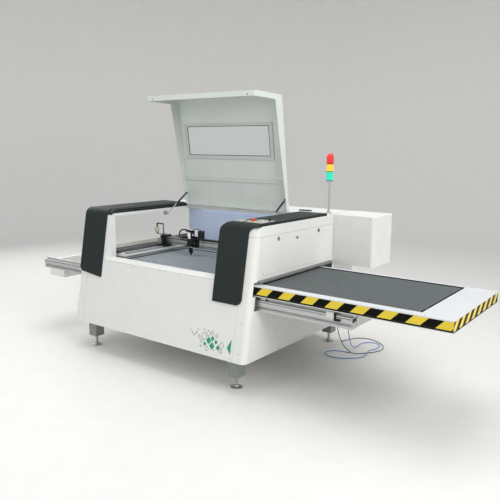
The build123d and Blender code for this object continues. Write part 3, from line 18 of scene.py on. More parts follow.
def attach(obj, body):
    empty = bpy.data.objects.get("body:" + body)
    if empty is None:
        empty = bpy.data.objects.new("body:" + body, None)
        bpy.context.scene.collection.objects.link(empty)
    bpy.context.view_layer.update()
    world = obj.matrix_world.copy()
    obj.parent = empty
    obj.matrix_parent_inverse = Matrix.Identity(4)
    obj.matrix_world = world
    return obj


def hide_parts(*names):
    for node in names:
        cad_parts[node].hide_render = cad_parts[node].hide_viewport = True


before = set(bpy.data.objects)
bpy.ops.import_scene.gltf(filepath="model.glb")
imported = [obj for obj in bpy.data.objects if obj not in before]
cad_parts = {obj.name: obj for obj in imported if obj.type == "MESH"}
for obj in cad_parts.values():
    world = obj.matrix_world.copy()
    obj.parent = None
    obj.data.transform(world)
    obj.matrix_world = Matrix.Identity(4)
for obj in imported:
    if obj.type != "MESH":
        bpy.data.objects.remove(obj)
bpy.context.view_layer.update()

Point = Tuple[float, float, float]
Span = Tuple[float, float]
Spot = Tuple[Sequence[float], Sequence[float]]
Colour = Tuple[float, float, float]
LOG = logging.getLogger("laser_cutter")

MM = 0.001
ORIGIN_X = 1458.5
ORIGIN_Y = 718.546
WIDTH = 2075.0
TOP = 1316.0
LEAN = radians(10.0)
SHARED = Matrix.Scale(MM, 4) @ Matrix.Translation((-ORIGIN_X, -ORIGIN_Y, 0.0))
HINGE = Vector((0.0, 1068.0, 1320.0))
LID_OPEN = radians(81.6)


def front_y(z: float, proud: float = 0.0) -> float:
    """Y of the leaning front face.

    Args:
        z: height above the floor in millimetres.
        proud: distance outside the face, square to it.

    Returns:
        Y in millimetres.
    """
    return -tan(LEAN) * (TOP - z) - proud / cos(LEAN)


def front_point(x: float, z: float, proud: float = 0.0) -> Vector:
    """Point on the leaning front face.

    Args:
        x: place along the machine in millimetres.
        z: height above the floor in millimetres.
        proud: distance outside the face.

    Returns:
        The point in millimetres.
    """
    return Vector((x, front_y(z, proud), z))


FRONT_OUT = Vector((0.0, -cos(LEAN), sin(LEAN)))
MIRROR_OUT = Vector((sin(pi / 4), -cos(pi / 4), 0.0))
MIRROR_SIDE = Vector((cos(pi / 4), sin(pi / 4), 0.0))
UP = Vector((0.0, 0.0, 1.0))


class Grain(Enum):
    """Kinds of surface that a finish can have."""

    POWDER = "powder coat"
    SATIN = "smooth satin"
    BRUSHED = "brushed along X"
    ANODISED = "anodised"
    MOULDED = "moulded plastic"
    RUBBER = "rubber"
    CLEAR = "clear"
    CAST = "cast or blasted"


@dataclass(frozen=True)
class Finish:
    """One surface finish.

    Attributes:
        name: name of the material and of its slot.
        colour: linear base colour.
        roughness: mean roughness.
        metallic: 0 for paint and plastic, 1 for bare metal.
        grain: kind of surface.
        bump: depth of the fine relief in millimetres.
        coat: weight of a clear coat.
        clear: share of light that passes through.
        glow: strength of its own light.
        mottle: how far the colour wanders, as a share.
        shine: strength of the mirror-like share of the light, 0.5 for common paint.
    """

    name: str
    colour: Colour
    roughness: float = 0.45
    metallic: float = 0.0
    grain: Grain = Grain.SATIN
    bump: float = 0.02
    coat: float = 0.0
    clear: float = 0.0
    glow: float = 0.0
    mottle: float = 0.03
    shine: float = 0.5


WHITE = Finish("body_white", (0.80, 0.81, 0.79), 0.42, grain=Grain.POWDER, bump=0.05, coat=0.15)
LID = Finish("lid_paint", (0.70, 0.745, 0.72), 0.45, grain=Grain.POWDER, bump=0.05, coat=0.1)
TABLE = Finish("table_paint", (0.68, 0.70, 0.72), 0.36, grain=Grain.POWDER, bump=0.04, coat=0.25)
COVER = Finish("cover_dark", (0.013, 0.021, 0.020), 0.52, grain=Grain.POWDER, bump=0.05, shine=0.26)
FRAME = Finish("frame_paint", (0.24, 0.27, 0.26), 0.5, grain=Grain.POWDER, bump=0.06)
WALL = Finish("wall_blue", (0.62, 0.72, 0.93), 0.5, grain=Grain.POWDER, bump=0.04)
STEEL = Finish("steel", (0.50, 0.50, 0.48), 0.32, 1.0, Grain.BRUSHED, 0.02)
CHROME = Finish("chrome", (0.72, 0.72, 0.72), 0.10, 1.0, Grain.SATIN, 0.0)
ALUMINIUM = Finish("aluminium", (0.62, 0.63, 0.62), 0.34, 0.9, Grain.ANODISED, 0.02)
# Shaded and lit copies of one honeycomb steel. The darker bed and cells of the right table carry painted
# shade, standing in for the depth of cells drawn only 1.8 mm tall. The lighter ones of the table in the bay
# carry painted light.
MESH = Finish("mesh_steel", (0.17, 0.19, 0.195), 0.48, 0.5, Grain.CAST, 0.05, mottle=0.12)
MESH_BAY_LIT = Finish("mesh_steel_bay_lit", (0.45, 0.50, 0.53), 0.30, 0.6, Grain.CAST, 0.05, mottle=0.16)
CELLS_SHADED = Finish("mesh_steel_cells_shaded", (0.26, 0.285, 0.29), 0.42, 0.7, Grain.BRUSHED, 0.0)
CELLS_BAY_LIT = Finish("mesh_steel_bay_cells_lit", (0.62, 0.67, 0.70), 0.30, 0.8, Grain.BRUSHED, 0.0)
BEAM = Finish("beam_aluminium", (0.82, 0.84, 0.84), 0.4, 0.15, Grain.BRUSHED, 0.02)
RAIL = Finish("rail_aluminium", (0.57, 0.585, 0.58), 0.38, 0.65, Grain.BRUSHED, 0.02)
BELLOWS = Finish("bellows_cloth", (0.085, 0.082, 0.100), 0.62, grain=Grain.RUBBER, bump=0.08)
RIM = Finish("bed_rim", (0.010, 0.011, 0.013), 0.8, grain=Grain.POWDER, bump=0.04, shine=0.0)
BLACK = Finish("black_plastic", (0.014, 0.014, 0.015), 0.45, grain=Grain.MOULDED, bump=0.03, shine=0.3)
SEAL = Finish("seal_rubber", (0.19, 0.19, 0.20), 0.6, grain=Grain.RUBBER, bump=0.05)
BEZEL = Finish("bezel_rubber", (0.60, 0.64, 0.62), 0.5, grain=Grain.MOULDED, bump=0.03)
PANE = Finish("pane", (0.86, 0.93, 0.92), 0.04, grain=Grain.CLEAR, clear=0.9, bump=0.0)
GLASS = Finish("tube_glass", (0.90, 0.88, 0.93), 0.03, grain=Grain.CLEAR, clear=0.85, bump=0.0)
GREEN = Finish("lens_green", (0.02, 0.46, 0.32), 0.18, grain=Grain.SATIN, coat=0.4, glow=0.9)
AMBER = Finish("lens_amber", (0.93, 0.56, 0.05), 0.18, grain=Grain.SATIN, coat=0.4, glow=0.35)
RED = Finish("lens_red", (0.72, 0.03, 0.02), 0.18, grain=Grain.SATIN, coat=0.4, glow=0.25)
RED_CAP = Finish("red_plastic", (0.62, 0.02, 0.018), 0.25, grain=Grain.MOULDED, coat=0.3)
WHITE_CAP = Finish("white_plastic", (0.78, 0.79, 0.76), 0.3, grain=Grain.MOULDED, coat=0.2)
HOSE = Finish("hose_blue", (0.10, 0.24, 0.62), 0.35, grain=Grain.MOULDED, coat=0.2)
CABLE = Finish("cable_black", (0.022, 0.028, 0.040), 0.5, grain=Grain.RUBBER)
# White of the head's plates, with a faint glow that is painted light to lift its shaded faces.
HEAD_WHITE_GLOWING = Finish("head_white", (0.90, 0.91, 0.92), 0.45, grain=Grain.POWDER, glow=0.12)
HEAD_BLACK = Finish("head_black", (0.010, 0.011, 0.014), 0.42, grain=Grain.ANODISED, shine=0.3)
CONSOLE = Finish("console_grey", (0.50, 0.52, 0.50), 0.4, 0.3, Grain.POWDER, 0.04)
YELLOW = Finish("yellow_tape", (0.80, 0.60, 0.02), 0.35, grain=Grain.SATIN, coat=0.3)
BLACK_TAPE = Finish("black_tape", (0.006, 0.006, 0.006), 0.4, grain=Grain.SATIN, shine=0.06)
SHADOW = Finish("seam_shadow", (0.10, 0.105, 0.10), 0.8, grain=Grain.RUBBER, bump=0.0, shine=0.1)
DECAL_GREEN = Finish("decal_green", (0.0, 0.32, 0.17), 0.35, grain=Grain.SATIN, coat=0.2)
DECAL_DARK = Finish("decal_dark", (0.02, 0.028, 0.027), 0.35, grain=Grain.SATIN, coat=0.2)
LATCH = Finish("latch_zinc", (0.34, 0.345, 0.34), 0.34, 0.8, Grain.CAST, 0.02)
BRASS = Finish("brass", (0.78, 0.56, 0.24), 0.25, 1.0, Grain.ANODISED, 0.0)
COPPER = Finish("mirror_gold", (0.85, 0.62, 0.33), 0.06, 1.0, Grain.SATIN, 0.0)
SCREW = Finish("screw_steel", (0.55, 0.55, 0.54), 0.25, 1.0, Grain.ANODISED, 0.0)
# Near-black for the recesses of screws and the slots of latches: painted shade.
SCREW_RECESS_SHADE = Finish("screw_recess", (0.02, 0.02, 0.02), 0.6, grain=Grain.RUBBER, bump=0.0)
BELT = Finish("belt", (0.03, 0.03, 0.032), 0.6, grain=Grain.RUBBER)
LED = Finish("strip_light", (0.80, 0.86, 1.0), 0.4, grain=Grain.SATIN, glow=3.0)
FLOOR = Finish("floor", (0.80, 0.795, 0.775), 0.5, grain=Grain.CAST, bump=0.15, mottle=0.02)

NODE_FINISH = {
    WHITE: "front_panel left_side_skin right_side_skin left_arm right_arm rear_deck rear_panel "
           "bottom_pan tube_box rail_braces service_panel",
    COVER: "left_arm_cover right_arm_cover", FRAME: "base_frame", WALL: "inner_back_wall",
    STEEL: "levelling_feet right_trucks left_trucks strut_brackets",
    CHROME: "lid_hinges left_strut_rod right_strut_rod",
    ALUMINIUM: "first_mirror light_stem gantry_beam gantry_mirror", RAIL: "exchange_rails", BEAM: "y_beams",
    TABLE: "right_table left_table", MESH: "right_bed", MESH_BAY_LIT: "left_bed", SEAL: "slot_seals",
    BEZEL: "window_bezel", PANE: "lid_window", GLASS: "laser_tube",
    GREEN: "green_lens", AMBER: "amber_lens", RED: "red_lens",
    RED_CAP: "estop_button", WHITE_CAP: "start_button tube_supports", LID: "lid_shell",
    LATCH: "front_latch rear_latch panel_lock",
    BLACK: "key_switch x_motor left_strut_cylinder right_strut_cylinder cable_glands cord_ends",
    HEAD_WHITE_GLOWING: "head_carriage", HEAD_BLACK: "laser_head gantry_trucks lens_tube",
    BELLOWS: "rail_covers", CONSOLE: "control_console", HOSE: "air_hose", CABLE: "sensor_cable",
}


class Workshop:
    """Makes each finish's material once and hands it out.

    Attributes:
        made: the materials made so far.
        relief: for each grain, how the fine noise is stretched, its scale and its detail.
        broad: scale of the noise that the roughness follows.
        tint: scale of the noise that the colour follows.
        soft_edge: radius in metres that edges seem rounded by.
    """

    relief = {
        Grain.SATIN: ((1.0, 1.0, 1.0), 500.0, 1.0),
        Grain.BRUSHED: ((1.0, 40.0, 40.0), 30.0, 3.0),
        Grain.POWDER: ((1.0, 1.0, 1.0), 450.0, 2.0),
        Grain.CAST: ((1.0, 1.0, 1.0), 220.0, 4.0),
        Grain.RUBBER: ((1.0, 1.0, 1.0), 300.0, 2.0),
        Grain.MOULDED: ((1.0, 1.0, 1.0), 600.0, 2.0),
        Grain.ANODISED: ((1.0, 1.0, 1.0), 700.0, 1.0),
    }
    broad = 3.0
    tint = 7.0
    soft_edge = 0.0012

    def __init__(self) -> None:
        """Starts with no material."""
        self.made: Dict[Finish, bpy.types.Material] = {}

    def material(self, finish: Finish) -> bpy.types.Material:
        """Material of a finish.

        Args:
            finish: the finish wanted.

        Returns:
            The material, made at the first call.
        """
        if finish not in self.made:
            self.made[finish] = self._build(finish)
        return self.made[finish]

    @staticmethod
    def _noise(tree: bpy.types.NodeTree, scale: float, stretch: Point, detail: float) -> bpy.types.Node:
        """Noise on object coordinates.

        Args:
            tree: node tree of the material.
            scale: scale of the noise.
            stretch: how much finer it is along each axis.
            detail: number of finer layers.

        Returns:
            The noise node.
        """
        coords = tree.nodes.new("ShaderNodeTexCoord")
        mapping = tree.nodes.new("ShaderNodeMapping")
        mapping.inputs["Scale"].default_value = stretch
        noise = tree.nodes.new("ShaderNodeTexNoise")
        noise.inputs["Scale"].default_value = scale
        noise.inputs["Detail"].default_value = detail
        tree.links.new(coords.outputs["Object"], mapping.inputs["Vector"])
        tree.links.new(mapping.outputs["Vector"], noise.inputs["Vector"])
        return noise

    @staticmethod
    def _range(tree: bpy.types.NodeTree, source: bpy.types.Node, low: float,
               high: float) -> bpy.types.NodeSocket:
        """Spreads a noise over a range.

        Args:
            tree: node tree of the material.
            source: the noise node.
            low: value where the noise is weak.
            high: value where it is strong.

        Returns:
            The socket that gives the value.
        """
        node = tree.nodes.new("ShaderNodeMapRange")
        for name, value in (("From Min", 0.3), ("From Max", 0.7), ("To Min", low), ("To Max", high)):
            node.inputs[name].default_value = value
        tree.links.new(source.outputs["Fac"], node.inputs["Value"])
        return node.outputs["Result"]

    def _build(self, finish: Finish) -> bpy.types.Material:
        """Node tree of a finish: wandering roughness and colour, fine relief and soft edges.

        Args:
            finish: the finish to make.

        Returns:
            The new material.
        """
        material = bpy.data.materials.new(finish.name)
        material.use_nodes = True
        tree = material.node_tree
        shader = tree.nodes["Principled BSDF"]
        for name, value in (
            ("Base Color", (*finish.colour, 1.0)), ("Roughness", finish.roughness),
            ("Metallic", finish.metallic), ("Specular IOR Level", finish.shine),
            ("Coat Weight", finish.coat), ("Coat Roughness", 0.12),
        ):
            shader.inputs[name].default_value = value
        material.diffuse_color = (*finish.colour, 1.0)
        if finish.glow:
            shader.inputs["Emission Color"].default_value = (*finish.colour, 1.0)
            shader.inputs["Emission Strength"].default_value = finish.glow
        if finish.grain is Grain.CLEAR:
            for name, value in (("Transmission Weight", finish.clear), ("IOR", 1.1), ("Alpha", 0.35)):
                shader.inputs[name].default_value = value
            return material
        stretch, fine, detail = self.relief[finish.grain]
        even = (1.0, 1.0, 1.0)
        broad = self._noise(tree, self.broad, even, 4.0)
        spread = 0.06 if finish.metallic < 0.5 else 0.09
        rough = self._range(tree, broad, finish.roughness - spread / 2, finish.roughness + spread)
        tree.links.new(rough, shader.inputs["Roughness"])
        if finish.mottle:
            tint = self._noise(tree, self.tint, stretch if finish.grain is Grain.BRUSHED else even, 5.0)
            scale = tree.nodes.new("ShaderNodeVectorMath")
            scale.operation = "SCALE"
            scale.inputs[0].default_value = finish.colour
            share = self._range(tree, tint, 1.0 - finish.mottle, 1.0 + finish.mottle / 2)
            tree.links.new(share, scale.inputs["Scale"])
            tree.links.new(scale.outputs["Vector"], shader.inputs["Base Color"])
        soft = tree.nodes.new("ShaderNodeBevel")
        soft.samples = 4
        soft.inputs["Radius"].default_value = self.soft_edge
        normal = soft.outputs["Normal"]
        if finish.bump:
            grain = self._noise(tree, fine, stretch, detail)
            bump = tree.nodes.new("ShaderNodeBump")
            bump.inputs["Strength"].default_value = 0.35
            bump.inputs["Distance"].default_value = finish.bump * MM
            tree.links.new(grain.outputs["Fac"], bump.inputs["Height"])
            tree.links.new(normal, bump.inputs["Normal"])
            normal = bump.outputs["Normal"]
        tree.links.new(normal, shader.inputs["Normal"])
        return material


SHOP = Workshop()


class Piece:
    """Mesh gathered in millimetres for one object of one finish on one body."""

    def __init__(self, name: str, finish: Finish, body: str = "cabinet", slot: Optional[str] = None) -> None:
        """Starts an empty mesh.

        Args:
            name: name of the object made at the end.
            finish: its finish.
            body: the body that it rides on.
            slot: name of its slot, kept on the piece, or None for the one named like the finish.
        """
        self.name = name
        self.finish = finish
        self.body = body
        self.slot = slot or finish.name
        self.mesh = bmesh.new()

    def box(self, low: Sequence[float], high: Sequence[float], bevel: float = 0.0) -> None:
        """Adds a box.

        Args:
            low: corner with the least coordinates.
            high: the corner across from it.
            bevel: width of the rounding of its edges.
        """
        low, high = Vector(low), Vector(high)
        place = Matrix.Translation((high + low) / 2) @ Matrix.Diagonal((*(high - low), 1.0))
        made = bmesh.ops.create_cube(self.mesh, size=1.0, matrix=place)
        if bevel:
            edges = list(dict.fromkeys(e for v in made["verts"] for e in v.link_edges))
            bmesh.ops.bevel(self.mesh, geom=edges, offset=bevel, segments=2, affect="EDGES", profile=0.5,
                            material=-1)

    def rod(self, start: Sequence[float], end: Sequence[float], radius: float, sides: int = 24) -> None:
        """Adds a cylinder.

        Args:
            start: middle of one end.
            end: middle of the other end.
            radius: its radius.
            sides: number of its sides.
        """
        start, end = Vector(start), Vector(end)
        run = end - start
        place = Matrix.Translation((start + end) / 2) @ run.to_track_quat("Z", "Y").to_matrix().to_4x4()
        bmesh.ops.create_cone(self.mesh, cap_ends=True, segments=sides, radius1=radius, radius2=radius,
                              depth=run.length, matrix=place)

    def prism(self, outline: Iterable[Sequence[float]], thick: Vector) -> None:
        """Adds a flat outline with a thickness.

        Args:
            outline: its corners in order.
            thick: vector from the outline to its far side.
        """
        base = self.mesh.faces.new([self.mesh.verts.new(Vector(p)) for p in outline])
        self._grow(base, Matrix.Translation(thick))
        self._face_out(base.verts[0])

    def fins(self, lines: Iterable[Tuple[Vector, Vector]], across: Vector, tall: Vector) -> None:
        """Adds thin walls that are open below and at their ends.

        Args:
            lines: first and last point of each wall's lower edge, on its left side.
            across: vector from the left side to the right one.
            tall: vector from the lower edge to the upper one.
        """
        edges = [self.mesh.edges.new([self.mesh.verts.new(end) for end in line]) for line in lines]
        for move in (tall, across, -tall):
            made = bmesh.ops.extrude_edge_only(self.mesh, edges=edges)["geom"]
            edges = [part for part in made if isinstance(part, bmesh.types.BMEdge)]
            verts = [part for part in made if isinstance(part, bmesh.types.BMVert)]
            bmesh.ops.translate(self.mesh, vec=move, verts=verts)

    def tube(self, path: Sequence[Sequence[float]], radius: float, smooth: int = 6, sides: int = 12) -> None:
        """Adds a round tube.

        Args:
            path: corners of its middle line, which is rounded.
            radius: its radius.
            smooth: points made for each corner.
            sides: number of its sides.
        """
        points = spline([Vector(p) for p in path], smooth)
        places, side = [], None
        for before, here, after in zip([points[0], *points], points, [*points[1:], points[-1]]):
            run = (after - before).normalized()
            side = run.orthogonal() if side is None else side - run * side.dot(run)
            side.normalize()
            turn = Matrix((side, run.cross(side), run)).transposed().to_4x4()
            places.append(Matrix.Translation(here) @ turn)
        ring = bmesh.ops.create_circle(self.mesh, cap_ends=True, segments=sides, radius=radius,
                                       matrix=places[0])
        first = ring["verts"][0]
        end = first.link_faces[0]
        for last, place in zip(places, places[1:]):
            end = self._grow(end, place @ last.inverted())
        self._face_out(first)

    def lathe(self, centre: Sequence[float], axis: Sequence[float], profile: Sequence[Tuple[float, float]],
              sides: int = 32) -> None:
        """Adds a turned form.

        Args:
            centre: where the axis starts.
            axis: direction of the axis.
            profile: radius and distance along the axis, from one end to the other. It is a ring if
                it ends where it starts.
            sides: number of its sides.
        """
        ring = profile[0] == profile[-1]
        line = [self.mesh.verts.new((radius, 0.0, along)) for radius, along in profile[:-1 if ring else None]]
        pairs = list(zip(line, line[1:])) + ([(line[-1], line[0])] if ring else [])
        edges = [self.mesh.edges.new(pair) for pair in pairs]
        bmesh.ops.spin(self.mesh, geom=[*line, *edges], cent=(0.0, 0.0, 0.0), axis=(0.0, 0.0, 1.0),
                       angle=2 * pi, steps=sides, use_merge=True, use_duplicate=False)
        start = next(v for v, (radius, _) in zip(line, profile) if radius > 0.0)
        bmesh.ops.remove_doubles(self.mesh, verts=self._shell(start), dist=1e-4)
        verts = self._shell(start)
        rims = list(dict.fromkeys(e for v in verts for e in v.link_edges if e.is_boundary))
        if rims:
            bmesh.ops.holes_fill(self.mesh, edges=rims, sides=0)
        turn = Vector(axis).to_track_quat("Z", "Y").to_matrix().to_4x4()
        bmesh.ops.transform(self.mesh, matrix=Matrix.Translation(Vector(centre)) @ turn, verts=verts)
        self._face_out(start)

    def _grow(self, face: bmesh.types.BMFace, move: Matrix) -> bmesh.types.BMFace:
        """Extrudes a face.

        Args:
            face: the face to start from.
            move: how its copy is moved.

        Returns:
            The copy.
        """
        made = bmesh.ops.extrude_face_region(self.mesh, geom=[face, *face.edges])["geom"]
        copy = next(part for part in made if isinstance(part, bmesh.types.BMFace))
        bmesh.ops.transform(self.mesh, matrix=move, verts=list(copy.verts))
        return copy

    @staticmethod
    def _shell(start: bmesh.types.BMVert) -> List[bmesh.types.BMVert]:
        """Walks over a shell.

        Args:
            start: any vertex of it.

        Returns:
            All its vertices.
        """
        found, todo = {start: None}, [start]
        while todo:
            for edge in todo.pop().link_edges:
                for vert in edge.verts:
                    if vert not in found:
                        found[vert] = None
                        todo.append(vert)
        return list(found)

    def _face_out(self, start: bmesh.types.BMVert) -> None:
        """Turns a closed shell's faces outwards.

        Args:
            start: any vertex of the shell.
        """
        faces = list(dict.fromkeys(f for v in self._shell(start) for f in v.link_faces))
        bmesh.ops.recalc_face_normals(self.mesh, faces=faces)

    def turn(self, angle: float, pivot: Vector) -> None:
        """Turns all that has been added so far about a line along X.

        Args:
            angle: the angle in radians.
            pivot: a point on the line.
        """
        place = Matrix.Translation(pivot) @ Matrix.Rotation(angle, 4, "X") @ Matrix.Translation(-pivot)
        bmesh.ops.transform(self.mesh, matrix=place, verts=self.mesh.verts)

    def done(self) -> bpy.types.Object:
        """Makes the object, gives it its material and lets it ride on its body.

        Returns:
            The object, at the origin and with its place in its mesh.
        """
        bmesh.ops.transform(self.mesh, matrix=SHARED, verts=self.mesh.verts)
        data = bpy.data.meshes.new(self.name)
        self.mesh.to_mesh(data)
        self.mesh.free()
        data.materials.append(SHOP.material(self.finish))
        data.polygons.foreach_set("use_smooth", [True] * len(data.polygons))
        data.set_sharp_from_angle(angle=radians(35))
        made = bpy.data.objects.new(self.name, data)
        bpy.context.scene.collection.objects.link(made)
        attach(made, self.body)
        return made


def spline(points: Sequence[Vector], steps: int) -> List[Vector]:
    """Rounds a path.

    Args:
        points: corners of the path.
        steps: points made for each corner.

    Returns:
        Points of a smooth curve through the middles of the runs.
    """
    if len(points) < 3 or steps < 2:
        return list(points)
    out = [points[0]]
    for before, here, after in zip(points, points[1:], points[2:]):
        a = before if before is points[0] else (before + here) / 2
        b = after if after is points[-1] else (here + after) / 2
        for k in range(steps + 1):
            t = k / steps
            spot = a * (1 - t) ** 2 + here * 2 * t * (1 - t) + b * t * t
            if (spot - out[-1]).length > 0.05:
                out.append(spot)
    return out


def screws(name: str, places: Iterable[Spot], radius: float = 4.5, body: str = "cabinet",
           finish: Finish = SCREW) -> None:
    """Button-head screws, each with a dark six-sided disc of painted shade standing in for its recess.

    Args:
        name: name of the two objects made.
        places: points on a surface with the direction out of it.
        radius: radius of the heads in millimetres.
        body: the body that they ride on.
        finish: finish of the heads.
    """
    heads, holes = Piece(name, finish, body), Piece(name + "_recess", SCREW_RECESS_SHADE, body)
    for place, out in places:
        spot, away = Vector(place), Vector(out).normalized()
        profile = [(radius, 0.0), (radius, 0.4), (radius * 0.8, radius * 0.38), (0.0, radius * 0.45)]
        heads.lathe(spot, away, profile, 16)
        # Dark disc on each head: painted shade in place of a hollow recess.
        holes.rod(spot + away * radius * 0.30, spot + away * (radius * 0.45 + 0.06), radius * 0.42, sides=6)
    heads.done()
    holes.done()


@dataclass
class Cabinet:
    """Screws, seams and the plain decoration of the cabinet.

    Attributes:
        seam: width of the line between two sheets.
        proud: how far a line stands out of its sheet.
        bend: radius of the rounding at the front corners.
        deck: height of the rear deck.
        decal_scale: size of the diamonds' field against its plan.
        decal_proud: thickness of the filled diamonds.
    """

    seam: float = 1.5
    proud: float = 0.25
    bend: float = 45.0
    deck: float = 1318.0
    decal_scale: float = 0.82
    decal_proud: float = 0.22

    def build(self) -> None:
        """Draws everything on the outside of the cabinet."""
        self._seams()
        self._screws()
        self._decal()
        self._trim()
        self._floor_line()

    def _seams(self) -> None:
        """Dark lines where one sheet meets the next."""
        lines = Piece("cabinet_seams", SHADOW)
        for x, high in ((122.25, 704.0), (1952.75, 700.0)):
            self._strip(lines, (x - 0.35, 258.0), (x + 0.35, high))
        for z, wide in ((925.0, 0.5), (1233.0, self.seam)):
            lines.box((WIDTH - 1, 36, z - wide / 2), (WIDTH + self.proud, 1166, z + wide / 2))
        for y, wide in ((36.0, 0.4), (1166.0, self.seam)):
            lines.box((WIDTH - 1, y - wide / 2, 925), (WIDTH + self.proud, y + wide / 2, 1233))
        self._corner_line(lines, 1233.0)
        lines.box((365, front_y(866) - 0.2, 865.6), (1697, front_y(866) + 1, 866.9))
        self._strip(lines, (322.0, 865.55), (365.0, 866.95))
        lines.done()

    def _strip(self, lines: Piece, low: Span, high: Span) -> None:
        """Adds a thin upright or level strip on the front face.

        Args:
            lines: the piece that it is added to.
            low: x and z of its lower left corner.
            high: x and z of its upper right corner.
        """
        corners = ((low[0], low[1]), (high[0], low[1]), (high[0], high[1]), (low[0], high[1]))
        lines.prism([front_point(x, z) for x, z in corners], FRONT_OUT * self.proud)

    def _corner_line(self, lines: Piece, z: float) -> None:
        """Adds the line that runs from the side's panel round the corner to the cover.

        Args:
            lines: the piece that it is added to.
            z: its height.
        """
        reach, wide = front_y(z), self.bend + self.proud
        turns = [-pi / 2 * k / 8 for k in range(9)]
        outer = [(WIDTH - self.bend + wide * cos(a), reach + self.bend + wide * sin(a)) for a in turns]
        path = [(WIDTH + self.proud, 36.0), *outer, (1990.0, reach - self.proud)]
        for (x0, y0), (x1, y1) in zip(path, path[1:]):
            run = Vector((x1 - x0, y1 - y0, 0.0))
            inward = Vector((-run.y, run.x, 0.0)).normalized() * -1.2
            if run.length > 0.1:
                low = z - self.seam / 2
                lines.prism([(x0, y0, low), (x1, y1, low), (x1 + inward.x, y1 + inward.y, low),
                             (x0 + inward.x, y0 + inward.y, low)], Vector((0, 0, self.seam)))

    def _screws(self) -> None:
        """Screws of the skins and panels."""
        front = [(front_point(x, z), FRONT_OUT) for x, z in (
            (716, 841), (1297, 840), (150, 841), (1925, 690), (716, 282), (1297, 282), (150, 282),
            (1925, 282), (2011, 563), (2012, 332), (64, 563), (64, 332), (2011, 800),
        )]
        side = [((WIDTH, y, z), (1, 0, 0)) for y, z in (
            (-100, 279), (285, 273), (696, 273), (1107, 273), (1500, 273), (1545, 560), (1545, 840),
            (-20, 640), (1215, 640), (600, 640),
        )]
        left = [((0, y, z), (-1, 0, 0)) for y, z in (
            (-100, 279), (285, 273), (696, 273), (1107, 273), (1500, 273), (1545, 560), (1545, 1000),
            (600, 640), (300, 906), (800, 906), (1300, 906), (300, 1252), (800, 1252), (1300, 1252),
        )]
        panel = [((WIDTH, y, z), (1, 0, 0)) for y, z in ((60, 940), (1142, 940))]
        screws("skin_screws", front + side + left + panel)
        top = [((x, y, self.deck), (0, 0, 1)) for x, y in (
            (60, 1080), (60, 1540), (520, 1540), (1037, 1540), (1555, 1540), (2015, 1540), (2040, 1100),
            (1730, 1120),
        )]
        screws("deck_screws", top, 4.0)

    def _decal(self) -> None:
        """Loose field of diamonds near the lower right corner."""
        solid, line = Piece("decal_green", DECAL_GREEN), Piece("decal_outline", DECAL_DARK)
        filled = ((1714, 372, 40), (1760, 326, 40), (1806, 372, 26), (1760, 398, 30), (1668, 330, 24),
                  (1838, 322, 30))
        hollow = ((1650, 402, 44), (1702, 440, 34), (1752, 452, 24), (1620, 356, 26), (1584, 388, 22),
                  (1700, 290, 30), (1880, 350, 36), (1876, 292, 24), (1548, 420, 16), (1520, 396, 14),
                  (1808, 432, 22), (1618, 300, 16))
        small = ((1492, 414, 9), (1470, 438, 7), (1566, 452, 8), (1790, 296, 8), (1650, 470, 8))
        for x, z, size in filled:
            solid.prism(self._diamond(x, z, size), FRONT_OUT * self.decal_proud)
        for x, z, size in hollow:
            outer, inner = self._diamond(x, z, size), self._diamond(x, z, size - 5.5)
            for i in range(4):
                j = (i + 1) % 4
                line.prism([outer[i], outer[j], inner[j], inner[i]], FRONT_OUT * 0.2)
        for x, z, size in small:
            line.prism(self._diamond(x, z, size), FRONT_OUT * 0.2)
        corner = [front_point(x, z) for x, z in ((1892, 358), (1932, 308), (1932, 432))]
        solid.prism(corner, FRONT_OUT * self.decal_proud)
        solid.done()
        line.done()

    def _diamond(self, x: float, z: float, size: float) -> List[Vector]:
        """Works out a slightly narrow diamond on the front face.

        Args:
            x: x of its middle on the field's plan.
            z: height of its middle on the plan.
            size: half its height on the plan.

        Returns:
            Its four corners on the face.
        """
        scale = self.decal_scale
        x, z, size = 1690 + (x - 1700) * scale, 372 + (z - 362) * scale, size * scale
        tall, wide = size * cos(LEAN), size * 0.86
        return [front_point(x, z - tall), front_point(x + wide, z), front_point(x, z + tall),
                front_point(x - wide, z)]

    def _trim(self) -> None:
        """Edge strip beside the left arm's cover, and the ring round the deck's grip hole."""
        strip = Piece("left_cover_edge", COVER)
        for x, wide, side, far in ((322.2, 41.3, 17.0, 1036.0), (365.0, 1.4, -18.0, 1038.0)):
            near, edge = [], []
            for k in range(11):
                turn, thick = radians(90.0 + 6.0 * k), side * (sqrt(1.0 - k / 10.0) + 0.02)
                for line, reach in ((near, 64.9), (edge, 64.9 + thick)):
                    line.append((x, 54.5 + reach * cos(turn), 1251.0 + reach * sin(turn)))
            outline = [(x, 1042, TOP), (x, far, TOP + side), *edge, *near[::-1]]
            strip.prism(outline, Vector((wide, 0.0, 0.0)))
        strip.done()
        ring = Piece("deck_grommet", BLACK)
        for x0, x1, y0, y1 in ((1642, 1768, 1250, 1255.5), (1642, 1768, 1284.5, 1290),
                               (1642, 1649.5, 1255.5, 1284.5), (1760.5, 1768, 1255.5, 1284.5)):
            ring.box((x0, y0, self.deck), (x1, y1, self.deck + 9), 1.2)
        ring.done()

    def _floor_line(self) -> None:
        """Welded tabs and cable clips under the frame's rails."""
        clips = Piece("frame_clips", STEEL)
        for x in (420.0, 760.0, 1320.0, 1660.0):
            clips.box((x, -92.0, 322.0), (x + 40, -30.0, 324.0), 0.4)
        clips.done()


